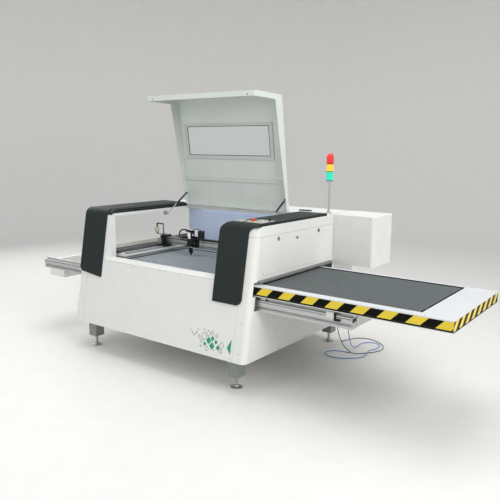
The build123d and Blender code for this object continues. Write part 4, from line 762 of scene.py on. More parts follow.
@dataclass
class Feet:
    """Threads, washers and pads of the four levelling feet, and the plates of the legs' ends.

    Attributes:
        places: x and y of each foot.
        ridges: number of thread ridges drawn on a stem.
        pitch: distance from one ridge to the next.
        leg_end: height of the legs' lower ends.
    """

    places: Tuple[Span, ...] = ((168, -59.9), (1907, -59.9), (168, 1447), (1907, 1447))
    ridges: int = 14
    pitch: float = 3.6
    leg_end: float = 100.0

    def build(self) -> None:
        """Draws thread ridges, washers, pads and plates."""
        thread, pad = Piece("foot_threads", SCREW, slot="steel"), Piece("foot_pads", STEEL)
        plate = Piece("leg_end_plates", FRAME)
        for x, y in self.places:
            for k in range(self.ridges):
                place = (x, y, 34 + k * self.pitch)
                thread.lathe(place, (0, 0, 1), [(10.0, 0.0), (10.9, 0.9), (10.9, 1.5), (10.0, 2.4)], 20)
            profile = [(48.0, 0.0), (50.0, 1.0), (50.0, 5.0), (48.5, 6.6), (42.0, 6.8)]
            pad.lathe((x, y, 0.0), (0, 0, 1), profile, 40)
            thread.lathe((x, y, self.leg_end - 1.5), (0, 0, 1), [(19.0, -1.0), (19.0, 1.2)], 28)
            plate.box((x - 52, y - 52, self.leg_end), (x + 52, y + 52, self.leg_end + 4), 1.0)
        thread.done()
        pad.done()
        plate.done()


@dataclass
class ServiceSide:
    """Latch details on the lift-off panel and the dark lips of the slots.

    Attributes:
        locks: body, y, z and grip's size of each latch and lock.
        grip_x: x of the grips' outer faces.
        slot_top: height of the slots' upper edges.
        slot_rear: y of their rear edges.
    """

    locks: Tuple[Tuple[str, float, float, float], ...] = (
        ("latch_front", 261, 1200, 34), ("latch_rear", 893, 1200, 34), ("lock", 543, 1178, 19),
    )
    grip_x: float = 2087.0
    slot_top: float = 886.0
    slot_rear: float = 1165.0

    def build(self) -> None:
        """Draws the latches' rings, the dark bars of painted shade in their slots, and the lips."""
        ring = Piece("latch_rings", SCREW, slot="steel")
        profile = [(12.6, 0.0), (12.6, 0.6), (11.6, 1.4), (11.4, 0.2)]
        for _, y, z, _ in self.locks:
            ring.lathe((WIDTH + 0.05, y, z), (1, 0, 0), profile, 32)
        ring.done()
        for body, y, z, size in self.locks:
            # A dark bar on each grip: painted shade of its slot.
            line, half = Piece(body + "_slot_shade", SCREW_RECESS_SHADE, body), size * 0.33
            line.box((self.grip_x, y - 1.2, z - half), (self.grip_x + 0.55, y + 1.2, z + half))
            line.done()
        lips, top, rear = Piece("slot_lips", SHADOW), self.slot_top, self.slot_rear
        for x, out in ((0.0, -1.0), (WIDTH, 1.0)):
            low, high = sorted((x, x + out * 0.3))
            lips.box((low, front_y(top) + 22, top - 1.4), (high, rear, top + 0.6))
            lips.box((low, rear - 1.4, 660), (high, rear + 0.6, top))
        lips.done()


@dataclass
class ExchangeTable:
    """Striped tape, honeycomb and fasteners of one exchange table.

    Attributes:
        inner: x of the table's inner edge.
        way: 1 when the outer end points to +X, -1 when it points to -X.
        body: the body that it rides on.
        front: y of its front edge.
        rear: y of its rear edge.
        length: its size along X.
        top: height of its top.
        cell: width of a honeycomb cell.
        wall: thickness of a honeycomb wall.
        stripe: width of a stripe on the front tape.
        end_stripe: width of a stripe on the end tape.
    """

    inner: float
    way: int
    body: str
    front: float = -53.0
    rear: float = 958.0
    length: float = 1593.0
    top: float = 866.0
    cell: float = 16.0
    wall: float = 0.9
    stripe: float = 100.5
    end_stripe: float = 64.0

    def x(self, along: float) -> float:
        """X at a distance from the inner edge."""
        return self.inner + self.way * along

    def build(self) -> None:
        """Draws the whole table."""
        self._tape()
        self._top()
        self._cells()
        self._rim()
        self._fasteners()

    def _band(self, start: Vector, run: Vector, length: float, low: float, high: float, out: Vector,
              pitch: float, offset: float) -> None:
        """Draws slanted yellow and black stripes along one edge.

        Args:
            start: the tape's first end, at height 0.
            run: its direction.
            length: its length.
            low: height of its lower edge.
            high: height of its upper edge.
            out: direction out of the table.
            pitch: width of a stripe.
            offset: where the stripes' pattern begins on it.
        """
        tall = high - low
        colours = (Piece(f"{self.body}_tape_yellow", YELLOW, self.body),
                   Piece(f"{self.body}_tape_black", BLACK_TAPE, self.body))
        k = -2
        while offset + k * pitch < length + tall:
            left = offset + k * pitch
            corners = [(left, 0.0), (left + pitch, 0.0), (left + pitch + tall, tall), (left + tall, tall)]
            shape = clip(clip(corners, 0.0, True), length, False)
            if len(shape) > 2:
                colours[k % 2].prism([start + run * u + Vector((0, 0, low + v)) for u, v in shape], out * 0.3)
            k += 1
        for piece in colours:
            piece.done()

    def _tape(self) -> None:
        """Tape on the front edge and on the outer end, and a dark line below the tape on each, drawn in the
        tape's black.
        """
        right = self.way > 0
        left_end = min(self.x(0), self.x(self.length))
        self._band(Vector((left_end, self.front, 0)), Vector((1, 0, 0)), self.length, 800, 857,
                   Vector((0, -1, 0)), self.stripe, 69.0 if right else 10.0)
        corner = Vector((self.x(self.length - 1.0), self.front + 2 if right else self.rear - 2, 0))
        self._band(corner, Vector((0, self.way, 0)), self.rear - self.front - 4, 792, 858,
                   Vector((self.way, 0, 0)), self.end_stripe, -20.0)
        # Dark lines under both tapes, in the tape's black.
        line = Piece(f"{self.body}_edge_line", BLACK_TAPE, self.body)
        low, high = sorted((self.x(0), self.x(self.length) - self.way))
        line.box((low, self.front - 0.3, 788.0), (high, self.front, 799.6))
        edge, skin = sorted((self.x(self.length - 2.2), self.x(self.length - 0.6)))
        line.box((edge, self.front + 2, 784.0), (skin, self.rear - 2, 791.6))
        line.done()

    def _top(self) -> None:
        """Sheet of the top over the two channels that carry the trucks."""
        sheet = Piece(f"{self.body}_top_sheet", TABLE, self.body)
        for place in (93.0, 699.0):
            x0, x1 = sorted((self.x(place - 35.0), self.x(place + 35.0)))
            for y0, y1 in ((-50.0, 23.0), (923.0, 955.0)):
                sheet.box((x0, y0, self.top - 3.0), (x1, y1, self.top))
        sheet.done()

    def _cells(self) -> None:
        """Honeycomb in the sunk field: walls that are open below and at their ends."""
        x0, x1 = sorted((self.x(59.3 + 15), self.x(1358.7 - 15)))
        y0, y1 = 23.3 + 15, 922.7 - 15
        # The right table takes the shaded copy and the table in the bay the lit copy.
        finish = CELLS_SHADED if self.way > 0 else CELLS_BAY_LIT
        cells = Piece(f"{self.body}_honeycomb", finish, self.body, slot="mesh_steel")
        side, low, tall = self.cell / sqrt(3.0), self.top - 7.0, 1.8
        middles, row, y = [], 0, y0 + 8.0
        while y < y1 - 6:
            x = x0 + 8.0 + (row % 2) * self.cell / 2
            while x < x1 - 6:
                middles.append((x, y))
                x += self.cell
            y += self.cell * sqrt(3.0) / 2
            row += 1
        for first in (-30, 30, 90):
            a, b = radians(first), radians(first + 60)
            across = Vector((cos((a + b) / 2), sin((a + b) / 2), 0.0)) * self.wall
            lines = []
            for x, y in middles:
                p, q = (Vector((x + side * cos(turn), y + side * sin(turn), low)) for turn in (a, b))
                if all(x0 <= end.x <= x1 and y0 <= end.y <= y1 for end in (p, q)):
                    lines.append((p - across / 2, q - across / 2))
            cells.fins(lines, across, UP * tall)
        cells.done()

    def _rim(self) -> None:
        """Dark rim round the sunk field."""
        rim = Piece(f"{self.body}_bed_rim", RIM, self.body, slot="black_plastic")
        bx0, bx1 = sorted((self.x(59.5), self.x(1358.5)))
        low, flat, high = self.top - 5.0, self.top - 4.4, self.top - 0.6
        for near, far in (
            ((bx0, 23.5, low), (bx1, 37.0, flat)), ((bx0, 907.9, low), (bx1, 922.5, high)),
            ((bx0, 37.0, low), (bx0 + 14.8, 907.9, high)), ((bx1 - 14.8, 37.0, low), (bx1, 907.9, high)),
        ):
            rim.box(near, far, 0.2)
        rim.done()

    def _fasteners(self) -> None:
        """Screws of the rim and the top."""
        flat, high = self.top - 4.4, self.top - 0.6
        rim = [((self.x(a), y, high), (0, 0, 1)) for a in (66, 1352) for y in (120, 473, 826)]
        rim += [((self.x(a), y, z), (0, 0, 1)) for a in (230, 500, 770, 1040, 1250)
                for y, z in ((30, flat), (916, high))]
        screws(f"{self.body}_rim_screws", rim, 3.0, self.body)
        top = [((self.x(a), y, self.top), (0, 0, 1)) for a in (1395, 1565) for y in (-25, 930)]
        top += [((self.x(a), -20, self.top), (0, 0, 1)) for a in (110, 700, 1300)]
        screws(f"{self.body}_top_screws", top, 4.0, self.body)


def clip(shape: Sequence[Tuple[float, float]], limit: float, keep_above: bool) -> List[Tuple[float, float]]:
    """Cuts a flat outline at a value of its first coordinate.

    Args:
        shape: the corners in order.
        limit: where the cut is.
        keep_above: True to keep what lies above the limit.

    Returns:
        The corners that are left.
    """
    out: List[Tuple[float, float]] = []
    for here, after in zip(shape, list(shape[1:]) + [shape[0]] if shape else []):
        inside = (here[0] >= limit) == keep_above or here[0] == limit
        next_inside = (after[0] >= limit) == keep_above or after[0] == limit
        if inside:
            out.append(here)
        if inside != next_inside and after[0] != here[0]:
            t = (limit - here[0]) / (after[0] - here[0])
            out.append((limit, here[1] + t * (after[1] - here[1])))
    return out


@dataclass
class Rails:
    """Bolts, end caps, stops, grooves and limit switch of the exchange rails, and the braces' angles.

    Attributes:
        ends: x of the rails' left and right ends.
        rows: y of the two rails' front faces.
        braces: x of the right and the left brace.
        bolt_pitch: distance from one bolt of the guides to the next.
        top: height of the rails' tops.
    """

    ends: Span = (-696.0, 2896.0)
    rows: Span = (-17.0, 842.0)
    braces: Span = (2838.0, -694.0)
    bolt_pitch: float = 120.0
    top: float = 746.0

    def build(self) -> None:
        """Draws everything on the rails."""
        bolts = []
        for y in self.rows:
            x = self.ends[0] + 60
            while x < self.ends[1]:
                bolts.append(((x, y + 40, self.top + 15.7), (0, 0, 1)))
                x += self.bolt_pitch
        screws("guide_bolts", bolts, 3.4)
        faces = [((x, self.rows[0], 724), (0, -1, 0)) for x in range(2180, 2890, 230)]
        faces += [((x, self.rows[0], 724), (0, -1, 0)) for x in range(-640, -20, 230)]
        screws("rail_screws", faces, 4.5)
        caps = Piece("rail_end_caps", BLACK)
        for y in self.rows:
            for x, out in ((self.ends[0], 1), (self.ends[1], -1)):
                low, high = sorted((x, x + out * 0.9))
                caps.box((low, y + 8.2, 710.0), (high, y + 71.8, 738.0), 0.3)
        caps.done()
        stops = Piece("rail_stops", BLACK)
        for y in self.rows:
            for x in (self.ends[0] + 8, self.ends[1] - 24):
                stops.box((x, y + 24, self.top), (x + 16, y + 56, self.top + 2), 0.6)
        stops.done()
        grooves = Piece("rail_grooves", SHADOW)
        for low, high in ((self.ends[0] + 4, -4.0), (WIDTH + 4, self.ends[1] - 4)):
            for z, tall in ((731.0, 4.0), (688.0, 2.6)):
                grooves.box((low, self.rows[0] - 0.2, z), (high, self.rows[0] + 0.4, z + tall))
        grooves.done()
        self._sensors()
        self._brackets()

    @staticmethod
    def _sensors() -> None:
        """Limit switch and its plate on the outer face of the front rail."""
        plate, body = Piece("limit_switch_plate", WHITE_CAP), Piece("limit_switch", BLACK)
        plate.box((2690.0, -21.0, 722), (2754.0, -17.0, 766), 1.2)
        body.box((2756.0, -27.0, 714), (2768.0, -17.0, 762), 0.8)
        body.box((2756.0, -30.0, 706), (2806.0, -17.0, 722), 1.4)
        body.rod((2762.0, -22, 762), (2762.0, -22, 770), 3.0)
        plate.done()
        body.done()

    def _brackets(self) -> None:
        """Angle plates that tie the braces to the rails."""
        plates, low, high = Piece("brace_angles", STEEL), 735.0, 737.4
        for x in self.braces:
            for near, far in ((63.0, 105.0), (800.0, 842.0)):
                plates.box((x + 8, near, low), (x + 48, far, high), 0.5)
        plates.done()
        places = [((x + 28, y, high), (0, 0, 1)) for x in self.braces for y in (84.0, 821.0)]
        screws("brace_screws", places, 4.0)


@dataclass
class Interior:
    """What is seen in the working bay: covers, belts, strip light, first mirror and laser tube.

    Attributes:
        covers: lowest and highest x of each dust cover.
        belts: x of each long belt.
        bolt_rows: x of each row of rail bolts.
        pulleys: y of the long belts' two ends.
        wall: y of the back wall.
        mirror: middle of the first mirror's stand.
        tube_ends: x of the laser tube's two ends.
    """

    covers: Tuple[Span, Span] = ((290.0, 363.5), (1836.5, 1910.0))
    belts: Span = (436.0, 1764.0)
    bolt_rows: Span = (410.0, 1790.0)
    pulleys: Span = (96.0, 1068.0)
    wall: float = 1098.0
    mirror: Point = (310.0, 1340.0, 1078.0)
    tube_ends: Span = (737.0, 2387.0)

    def build(self) -> None:
        """Draws everything inside that doesn't move."""
        self._covers()
        self._belts()
        self._wall()
        self._mirror()
        self._tube()

    def _covers(self) -> None:
        """Pleats of the dust covers beside the long rails."""
        pleats = Piece("cover_pleats", BELLOWS, slot="head_black")
        for low, high in self.covers:
            y = 84.0
            while y < 1080:
                pleats.box((low + 4, y, 933.0), (high - 4, y + 7, 934.1), 0.4)
                y += 18
        pleats.done()

    def _belts(self) -> None:
        """Toothed belts, pulleys and rail bolts along the long beams."""
        belt, wheel = Piece("long_belts", BELT, slot="seal_rubber"), Piece("belt_pulleys", ALUMINIUM)
        for x in self.belts:
            for z in (911.5, 920.5):
                belt.box((x - 5, self.pulleys[0], z), (x + 5, self.pulleys[1], z + 1.2))
            for y in self.pulleys:
                wheel.rod((x - 6, y, 916.5), (x + 6, y, 916.5), 4.4, sides=20)
        belt.done()
        wheel.done()
        bolts = []
        for x in self.bolt_rows:
            y = 110.0
            while y < 1080:
                bolts.append(((x, y, 920.0), (0, 0, 1)))
                y += 60
        screws("long_rail_bolts", bolts, 2.6)

    def _wall(self) -> None:
        """Strip light and screws of the back wall."""
        light = Piece("strip_light", LED, slot="white_plastic")
        holder = Piece("strip_light_holder", ALUMINIUM)
        holder.box((520, self.wall - 14, 1296.0), (1640, self.wall - 0.2, 1302.0), 0.5)
        light.box((526, self.wall - 13, 1292.6), (1634, self.wall - 2, 1296.0), 0.8)
        light.done()
        holder.done()
        places = [((x, self.wall, z), (0, -1, 0)) for x in (380, 820, 1260, 1700) for z in (905, 1282)]
        screws("wall_screws", places, 4.0)

    def _mirror(self) -> None:
        """Gold mirror and its adjusting knobs on the tube's end stand."""
        disc = Piece("first_mirror_disc", COPPER, slot="aluminium")
        knobs = Piece("first_mirror_knobs", BRASS, slot="aluminium")
        centre = Vector(self.mirror)
        disc.rod(centre + MIRROR_OUT * 6.0, centre + MIRROR_OUT * 8.2, 13.0, sides=32)
        for side, up in ((-20, 20), (20, 20), (20, -20)):
            place = centre + MIRROR_SIDE * side + UP * up
            knobs.rod(place - MIRROR_OUT * 16.0, place - MIRROR_OUT * 6.0, 4.2, sides=18)
        disc.done()
        knobs.done()

    def _tube(self) -> None:
        """Inner bore, end electrodes and water ports of the laser tube."""
        glass = Piece("tube_inner", GLASS, slot="tube_glass")
        metal = Piece("tube_electrodes", BRASS, slot="aluminium")
        low, high = self.tube_ends
        _, y, z = self.mirror
        glass.rod((low + 70, y, z), (high - 70, y, z), 8.0)
        for x in (low + 6, high - 26):
            metal.rod((x, y, z), (x + 20, y, z), 14.0)
        for x in (low + 62, high - 90):
            metal.rod((x, y, z), (x + 26, y, z), 24.0)
        glass.done()
        metal.done()


@dataclass
class Gantry:
    """Slots, belt, bolts, motor details, mirror and cable chain of the cross beam.

    Attributes:
        body: the body that they ride on.
        left: x of the left end of the slots.
        right: x of their right end.
        face: y of the beam's front face.
        top: height of the beam's top.
        motor: x and z of the motor's axis.
        mirror: middle of the beam's mirror.
        link: distance from one link of the chain to the next.
    """

    body: str = "gantry"
    left: float = 446.0
    right: float = 1754.0
    face: float = 650.0
    top: float = 1014.0
    motor: Span = (410.0, 974.0)
    mirror: Point = (310.0, 644.0, 1078.0)
    link: float = 23.5

    def build(self) -> None:
        """Draws the parts that ride on the gantry."""
        self._beam()
        self._motor()
        self._mirror()
        self._chain()

    def _beam(self) -> None:
        """Painted shade in the slots of the beam's section as black strips, its belt and the rail's bolts."""
        slots = Piece("beam_slot_shade", BLACK, self.body)
        # Black strips stand in for the shade inside the slots: painted shade.
        for z in (961.0, 1003.0):
            slots.box((self.left, self.face - 0.6, z - 3), (self.right, self.face, z + 3))
        for y in (663, 681):
            slots.box((self.left, y, self.top), (self.right, y + 6, self.top + 0.4))
        slots.done()
        belt = Piece("cross_belt", BELT, self.body, slot="seal_rubber")
        belt.box((self.left + 6, self.face - 9.4, 1003.0), (self.right - 4, self.face - 1, 1004.3))
        belt.done()
        bolts = [((x, 640.0, 982.0), (0, -1, 0)) for x in range(480, 1750, 60)]
        screws("cross_rail_bolts", bolts, 2.2, self.body)
        ends = [((x, y, 1031.0), (0, 0, 1)) for x in (395, 425, 1775, 1805) for y in (634, 704)]
        screws("truck_screws", ends, 3.5, self.body)

    def _motor(self) -> None:
        """Flange, cap and lead of the cross motor."""
        steel, lead = Piece("motor_end", STEEL, self.body), Piece("motor_lead", CABLE, self.body)
        x, z = self.motor
        steel.box((x - 28, 572.1, z - 28), (x + 28, 573.0, z + 28), 2.0)
        steel.rod((x, 572.0, z), (x, 569.8, z), 11.0)
        lead.tube([(x, 600, 1001), (x, 600, 1012), (x - 6, 612, 1026), (x - 14, 640, 1034),
                   (x - 14, 668, 1032.5)], 3.0)
        steel.done()
        lead.done()
        places = [((x + a, 572.1, z + b), (0, -1, 0)) for a in (-22, 22) for b in (-22, 22)]
        screws("motor_screws", places, 3.0, self.body)

    def _mirror(self) -> None:
        """Gold mirror, knobs and the pale plate of the beam's mirror, whose white glows faintly as painted
        light.
        """
        centre = Vector(self.mirror)
        plate = Piece("mirror_plate", HEAD_WHITE_GLOWING, self.body)
        edge = Piece("mirror_plate_edge", HEAD_BLACK, self.body)
        disc = Piece("beam_mirror_disc", COPPER, self.body, slot="aluminium")
        knob = Piece("beam_mirror_knobs", BRASS, self.body, slot="aluminium")
        plate.box((310, 655.3, 1038), (380, 656.0, 1134))
        for x0, x1, z0, z1 in ((290, 310, 1031, 1146), (380, 390, 1031, 1146), (310, 380, 1134, 1146),
                               (310, 380, 1031, 1038)):
            edge.box((x0, 654.9, z0), (x1, 656.0, z1), 0.2)
        disc.rod(centre + MIRROR_OUT * 6.1, centre + MIRROR_OUT * 8.0, 13.0, sides=32)
        for side, up in ((-16, 16), (16, 16), (16, -16)):
            spot = centre + MIRROR_SIDE * side + UP * up
            knob.rod(spot + MIRROR_OUT * 6.0, spot + MIRROR_OUT * 12.0, 3.4, sides=16)
        for piece in (plate, edge, disc, knob):
            piece.done()

    def _chain(self) -> None:
        """Cable chain that lies on the beam behind the rail."""
        links, pins = Piece("cable_chain", BLACK, self.body), Piece("cable_chain_pins", STEEL, self.body)
        x = 640.0
        while x < 1740:
            links.box((x, 671.5, self.top + 0.4), (x + 21, 698.0, self.top + 17), 1.6)
            pins.rod((x + 22.2, 671.0, 1022.5), (x + 22.2, 698.5, 1022.5), 2.2, sides=12)
            x += self.link
        links.done()
        pins.done()


@dataclass
class Head:
    """Mirror housing, hoses and focus parts of the laser head.

    Attributes:
        body: the body that they ride on.
        axis: x and y of the beam's way down through the lens.
        plate: y of the head plate's front face.
        knurls: number of ridges round the focus collar.
    """

    body: str = "head"
    axis: Span = (835.0, 580.0)
    plate: float = 610.0
    knurls: int = 40

    def build(self) -> None:
        """Draws the parts that ride on the head."""
        black, metal = Piece("head_fittings", BLACK, self.body), Piece("head_metal", CHROME, self.body)
        x, y = self.axis
        metal.lathe((x, y, 955), (0, 0, 1), [(27.0, 0.0), (28.6, 1.0), (28.6, 7.0), (27.0, 8.0)], 36)
        for side, up in ((-14, 14), (14, 14), (14, -14)):
            metal.rod((x + side, 557, 1076 + up), (x + side, 549.5, 1076 + up), 3.6, sides=18)
        metal.rod((858, y, 1077), (862, y, 1077), 12.0)
        black.rod((862, 566, 1000), (900, 560, 1000), 6.0)
        metal.rod((900, 560, 1000), (912, 557.6, 1000), 3.2)
        black.box((762, 597, 1040), (784, 609, 1056), 1.4)
        black.rod((773, 600, 1040), (773, 600, 1020), 3.6)
        for z in (972.0, 990.0, 1008.0):
            black.box((785, 587.6, z), (885, 590.0, z + 9), 0.8)
        for low, high in ((760.2, 782.8), (887.2, 909.8)):
            black.box((low, self.plate - 4, 956.0), (high, self.plate - 0.1, 1034.0), 0.6)
        black.box((910.0, self.plate - 1, 956.0), (911.6, self.plate + 13, 1034.0), 0.4)
        black.box((858.4, self.plate - 6, 1036.0), (909.8, self.plate - 0.1, 1060.0), 0.6)
        black.done()
        metal.done()
        # The cap takes the head's white, which glows faintly as painted light.
        cap = Piece("head_mirror_cap", HEAD_WHITE_GLOWING, self.body)
        cap.box((x - 16.5, 555.4, 1041.0), (x + 16.5, 557.0, 1100.0), 0.8)
        cap.done()
        self._hoses()
        for name, face, columns, rows, radius in (
            ("head_plate_screws", self.plate, (770, 900), (1050, 1112), 3.0),
            ("head_box_screws", 557, (817, 853), (1046, 1095), 2.0),
            ("head_block_screws", 598, (920, 956), (1044, 1112), 2.6),
        ):
            screws(name, [((x, face, z), (0, -1, 0)) for x in columns for z in rows], radius, self.body)
        self._focus()

    def _hoses(self) -> None:
        """Cooling hose that loops at the left of the head, and the thin air line over it."""
        hose = Piece("head_hose", CABLE, self.body)
        hose.tube([(780, 596, 1116), (750, 594, 1120), (712, 590, 1118), (684, 588, 1098), (676, 586, 1064),
                   (690, 586, 1034), (724, 588, 1018), (764, 590, 1015), (792, 592, 1015)], 7.0, 6, 16)
        hose.tube([(934, 612, 1119), (930, 606, 1133), (906, 598, 1137), (872, 592, 1131), (846, 588, 1116),
                   (838, 584, 1106)], 4.0)
        hose.done()

    def _focus(self) -> None:
        """Knurled collar and air inlet of the lens tube."""
        grip, tip = Piece("focus_knurl", BLACK, "lens"), Piece("air_inlet", LATCH, "lens", slot="steel")
        x, y = self.axis
        for k in range(self.knurls):
            a = 2 * pi * k / self.knurls
            out, back = x + 23.1 * cos(a), y + 23.1 * sin(a)
            grip.rod((out, back, 911.5), (out, back, 920.5), 0.8, sides=6)
        tip.rod((x + 11, y, 902), (x + 24, y, 902), 3.5, sides=16)
        tip.rod((x + 24, y, 902), (x + 29, y, 902), 5.0, sides=6)
        grip.done()
        tip.done()


@dataclass
class Lid:
    """Seams, gasket, screws and buffers of the open lid, drawn closed and turned.

    Attributes:
        body: the body that they ride on.
        hinges: x of the three hinges' middles.
        bezel: height of the window bezel's inner face on the closed lid.
        rib: height of the rib's upper face there.
        lip: height of the front lip's edge there.
    """

    body: str = "lid"
    hinges: Point = (509.0, 1012.0, 1515.0)
    bezel: float = 1304.0
    rib: float = 1313.0
    lip: float = 897.0

    def build(self) -> None:
        """Draws the parts that ride on the lid, and the hinges' fixed screws."""
        gasket = Piece("window_gasket", BLACK, self.body)
        for x0, x1, y0, y1 in ((473, 1492, 253, 258), (473, 1492, 537, 542), (473, 478, 258, 537),
                               (1487, 1492, 258, 537)):
            gasket.box((x0, y0, self.bezel - 0.8), (x1, y1, self.bezel + 4))
        self._open(gasket)
        seams = Piece("lid_seams", SHADOW, self.body)
        for y in (773.6, 799.2):
            seams.box((371, y, self.rib - 0.3), (1653, y + 1.2, self.rib))
        self._open(seams)
        columns = (445, 700, 960, 1220, 1512)
        bezel = [((x, y, self.bezel), (0, 0, -1)) for x in columns for y in (241, 561)]
        bezel += [((x, 405, self.bezel), (0, 0, -1)) for x in (445, 1512)]
        self._screws("bezel_screws", bezel, 3.4)
        rib = [((x, 787, self.rib - 12), (0, 0, -1)) for x in (420, 720, 1012, 1305, 1604)]
        self._screws("lid_screws", rib, 4.0)
        knuckles = [((x + off, 1046, 1317.0), (0, 0, 1)) for x in self.hinges for off in (-9, 9)]
        self._screws("knuckle_screws", knuckles, 3.0)
        buffers, y = Piece("lid_buffers", SEAL, self.body), front_y(self.lip) + 22
        for x in (440.0, 1584.0):
            buffers.rod((x, y, self.lip + 2.5), (x, y, self.lip - 0.5), 7.0, sides=20)
        self._open(buffers)
        fixed = [((x + off, 1098, 1320.0), (0, 0, 1)) for x in self.hinges for off in (-32, 0, 32)]
        screws("hinge_screws", fixed, 3.0)

    @staticmethod
    def _open(piece: Piece) -> None:
        """Turns a piece that was drawn on the closed lid open, and makes it."""
        piece.turn(-LID_OPEN, HINGE)
        piece.done()

    def _screws(self, name: str, places: Sequence[Spot], radius: float) -> None:
        """Makes screws that are given on the closed lid, turned open.

        Args:
            name: name of the two objects.
            places: points on the closed lid with the direction out of it.
            radius: radius of the heads.
        """
        turn = Matrix.Rotation(-LID_OPEN, 3, "X")
        turned = [(HINGE + turn @ (Vector(p) - HINGE), turn @ Vector(out)) for p, out in places]
        screws(name, turned, radius, self.body)


@dataclass
class Struts:
    """Rings and bracket nuts of the two gas struts.

    Attributes:
        places: side and x of each strut.
        foot: y and z of the rods' pivots on the cabinet.
        stud: how far the cylinders' studs lie before and below the closed lid's hinge.
        rings: distances of a cylinder's two rings from its rod's pivot.
    """

    places: Tuple[Tuple[str, float], ...] = (("left", 383.0), ("right", 1641.0))
    foot: Span = (721.0, 1240.0)
    stud: Span = (125.0, 38.0)
    rings: Span = (160.2, 326.2)

    def build(self) -> None:
        """Draws the parts on each strut's cylinder and bracket."""
        foot = Vector((0, *self.foot))
        stud = HINGE + Matrix.Rotation(-LID_OPEN, 3, "X") @ Vector((0, -self.stud[0], -self.stud[1]))
        run = (stud - foot).normalized()
        profile = [(9.0, 3.0), (9.25, 3.3), (9.25, 6.7), (9.0, 7.0)]
        for side, x in self.places:
            ring = Piece(f"{side}_strut_rings", CHROME, f"{side}_cylinder")
            for along in self.rings:
                ring.lathe(Vector((x, foot.y, foot.z)) + run * along, run, profile, 28)
            ring.done()
            out = -1.0 if side == "left" else 1.0
            nut = Piece(f"{side}_strut_nut", SCREW, slot="steel")
            edge = Vector((x - out * 9.6, foot.y, foot.z))
            nut.lathe(edge, (-out, 0, 0), [(4.0, 0.0), (6.5, 0.2), (6.5, 1.0), (4.0, 1.4)], 20)
            nut.done()


@dataclass
class Controls:
    """Collars and small parts of the control console.

    Attributes:
        top: height of the console's top.
        estop: x and y of the emergency stop.
        bezels: x, y and bore radius of the button's and the key's bezels.
        sockets: x and y of each socket.
    """

    top: float = 1336.0
    estop: Span = (1933.0, 116.0)
    bezels: Tuple[Point, ...] = ((1975.0, 190.0, 11.4), (2022.0, 214.0, 12.4))
    sockets: Tuple[Span, ...] = ((1857.0, 96.0), (1854.0, 134.0))

    def build(self) -> None:
        """Draws the yellow ring, bezels, marks, sockets and the reader window."""
        ring = Piece("estop_ring", YELLOW, slot="lens_amber")
        profile = [(8.6, 0.0), (27.6, 0.0), (27.6, 0.8), (26.0, 1.8), (9.5, 1.8), (8.6, 0.0)]
        ring.lathe((*self.estop, self.top + 6), (0, 0, 1), profile, 40)
        ring.done()
        bezel = Piece("console_bezels", CHROME)
        for x, y, bore in self.bezels:
            rim = bore + 3.6
            profile = [(bore, 0.0), (rim, 0.0), (rim, 0.6), (rim - 1.2, 1.4), (bore, 1.4), (bore, 0.0)]
            bezel.lathe((x, y, self.top + 3), (0, 0, 1), profile, 36)
        bezel.done()
        grip = Piece("estop_arrows", WHITE_CAP, "emergency_stop")
        for k in range(3):
            a = 2 * pi * k / 3
            spot = Vector((self.estop[0] + 10 * cos(a), self.estop[1] + 10 * sin(a), self.top + 29.0))
            grip.box(spot - Vector((2.2, 2.2, 1.2)), spot + Vector((2.2, 2.2, 0.25)))
        grip.done()
        black, clear = Piece("console_sockets", BLACK), Piece("console_display", BLACK)
        profile = [(11.0, 0.0), (11.0, 2.4), (9.0, 3.4), (8.0, 2.0), (0.0, 2.0)]
        for x, y in self.sockets:
            black.lathe((x, y, self.top), (0, 0, 1), profile, 28)
        clear.box((1790, 190, self.top - 0.2), (1900, 262, self.top + 1.4), 1.0)
        black.done()
        clear.done()
        corners = [((x, y, self.top), (0, 0, 1)) for x in (1776, 2039) for y in (73, 279)]
        screws("console_screws", corners, 3.0)


@dataclass
class SignalLight:
    """Bands and ribs of the lenses, and the foot's nut and screws.

    Attributes:
        axis: x and y of the light's axis.
        bands: heights of the bands below the lenses.
        ribs: name, finish, lowest point and height of each lens's ribs.
        count: number of ribs round a lens.
        rib_row: radius on which the ribs stand.
    """

    axis: Span = (2002.0, 1200.0)
    bands: Point = (1623.0, 1706.0, 1775.0)
    ribs: Tuple[Tuple[str, Finish, float, float], ...] = (
        ("green_ribs", GREEN, 1632, 64), ("amber_ribs", AMBER, 1715, 50), ("red_ribs", RED, 1784, 56),
    )
    count: int = 36
    rib_row: float = 32.3

    def build(self) -> None:
        """Draws bands, ribs, screws and the nut."""
        band = Piece("light_bands", BLACK)
        for z in self.bands:
            band.lathe((*self.axis, z), (0, 0, 1), [(30.6, -1.6), (32.4, -1.0), (32.4, 3.4), (30.6, 4.0)], 48)
        band.done()
        for name, finish, z, tall in self.ribs:
            ribs = Piece(name, finish)
            for k in range(self.count):
                x, y = self._round(2 * pi * k / self.count, self.rib_row)
                ribs.rod((x, y, z), (x, y, z + tall), 0.8, sides=6)
            ribs.done()
        places = [((*self._round(a, 26.0), 1323.0), (0, 0, 1)) for a in (0.5, 2.6, 4.7)]
        screws("light_foot_screws", places, 2.6)
        nut = Piece("light_nut", CHROME)
        nut.lathe((*self.axis, 1344), (0, 0, 1), [(11.0, 0.0), (15.0, 0.4), (15.0, 7.0), (11.0, 8.0)], 6)
        nut.done()

    def _round(self, angle: float, radius: float) -> Span:
        """X and y of a point round the light's axis."""
        return self.axis[0] + radius * cos(angle), self.axis[1] + radius * sin(angle)


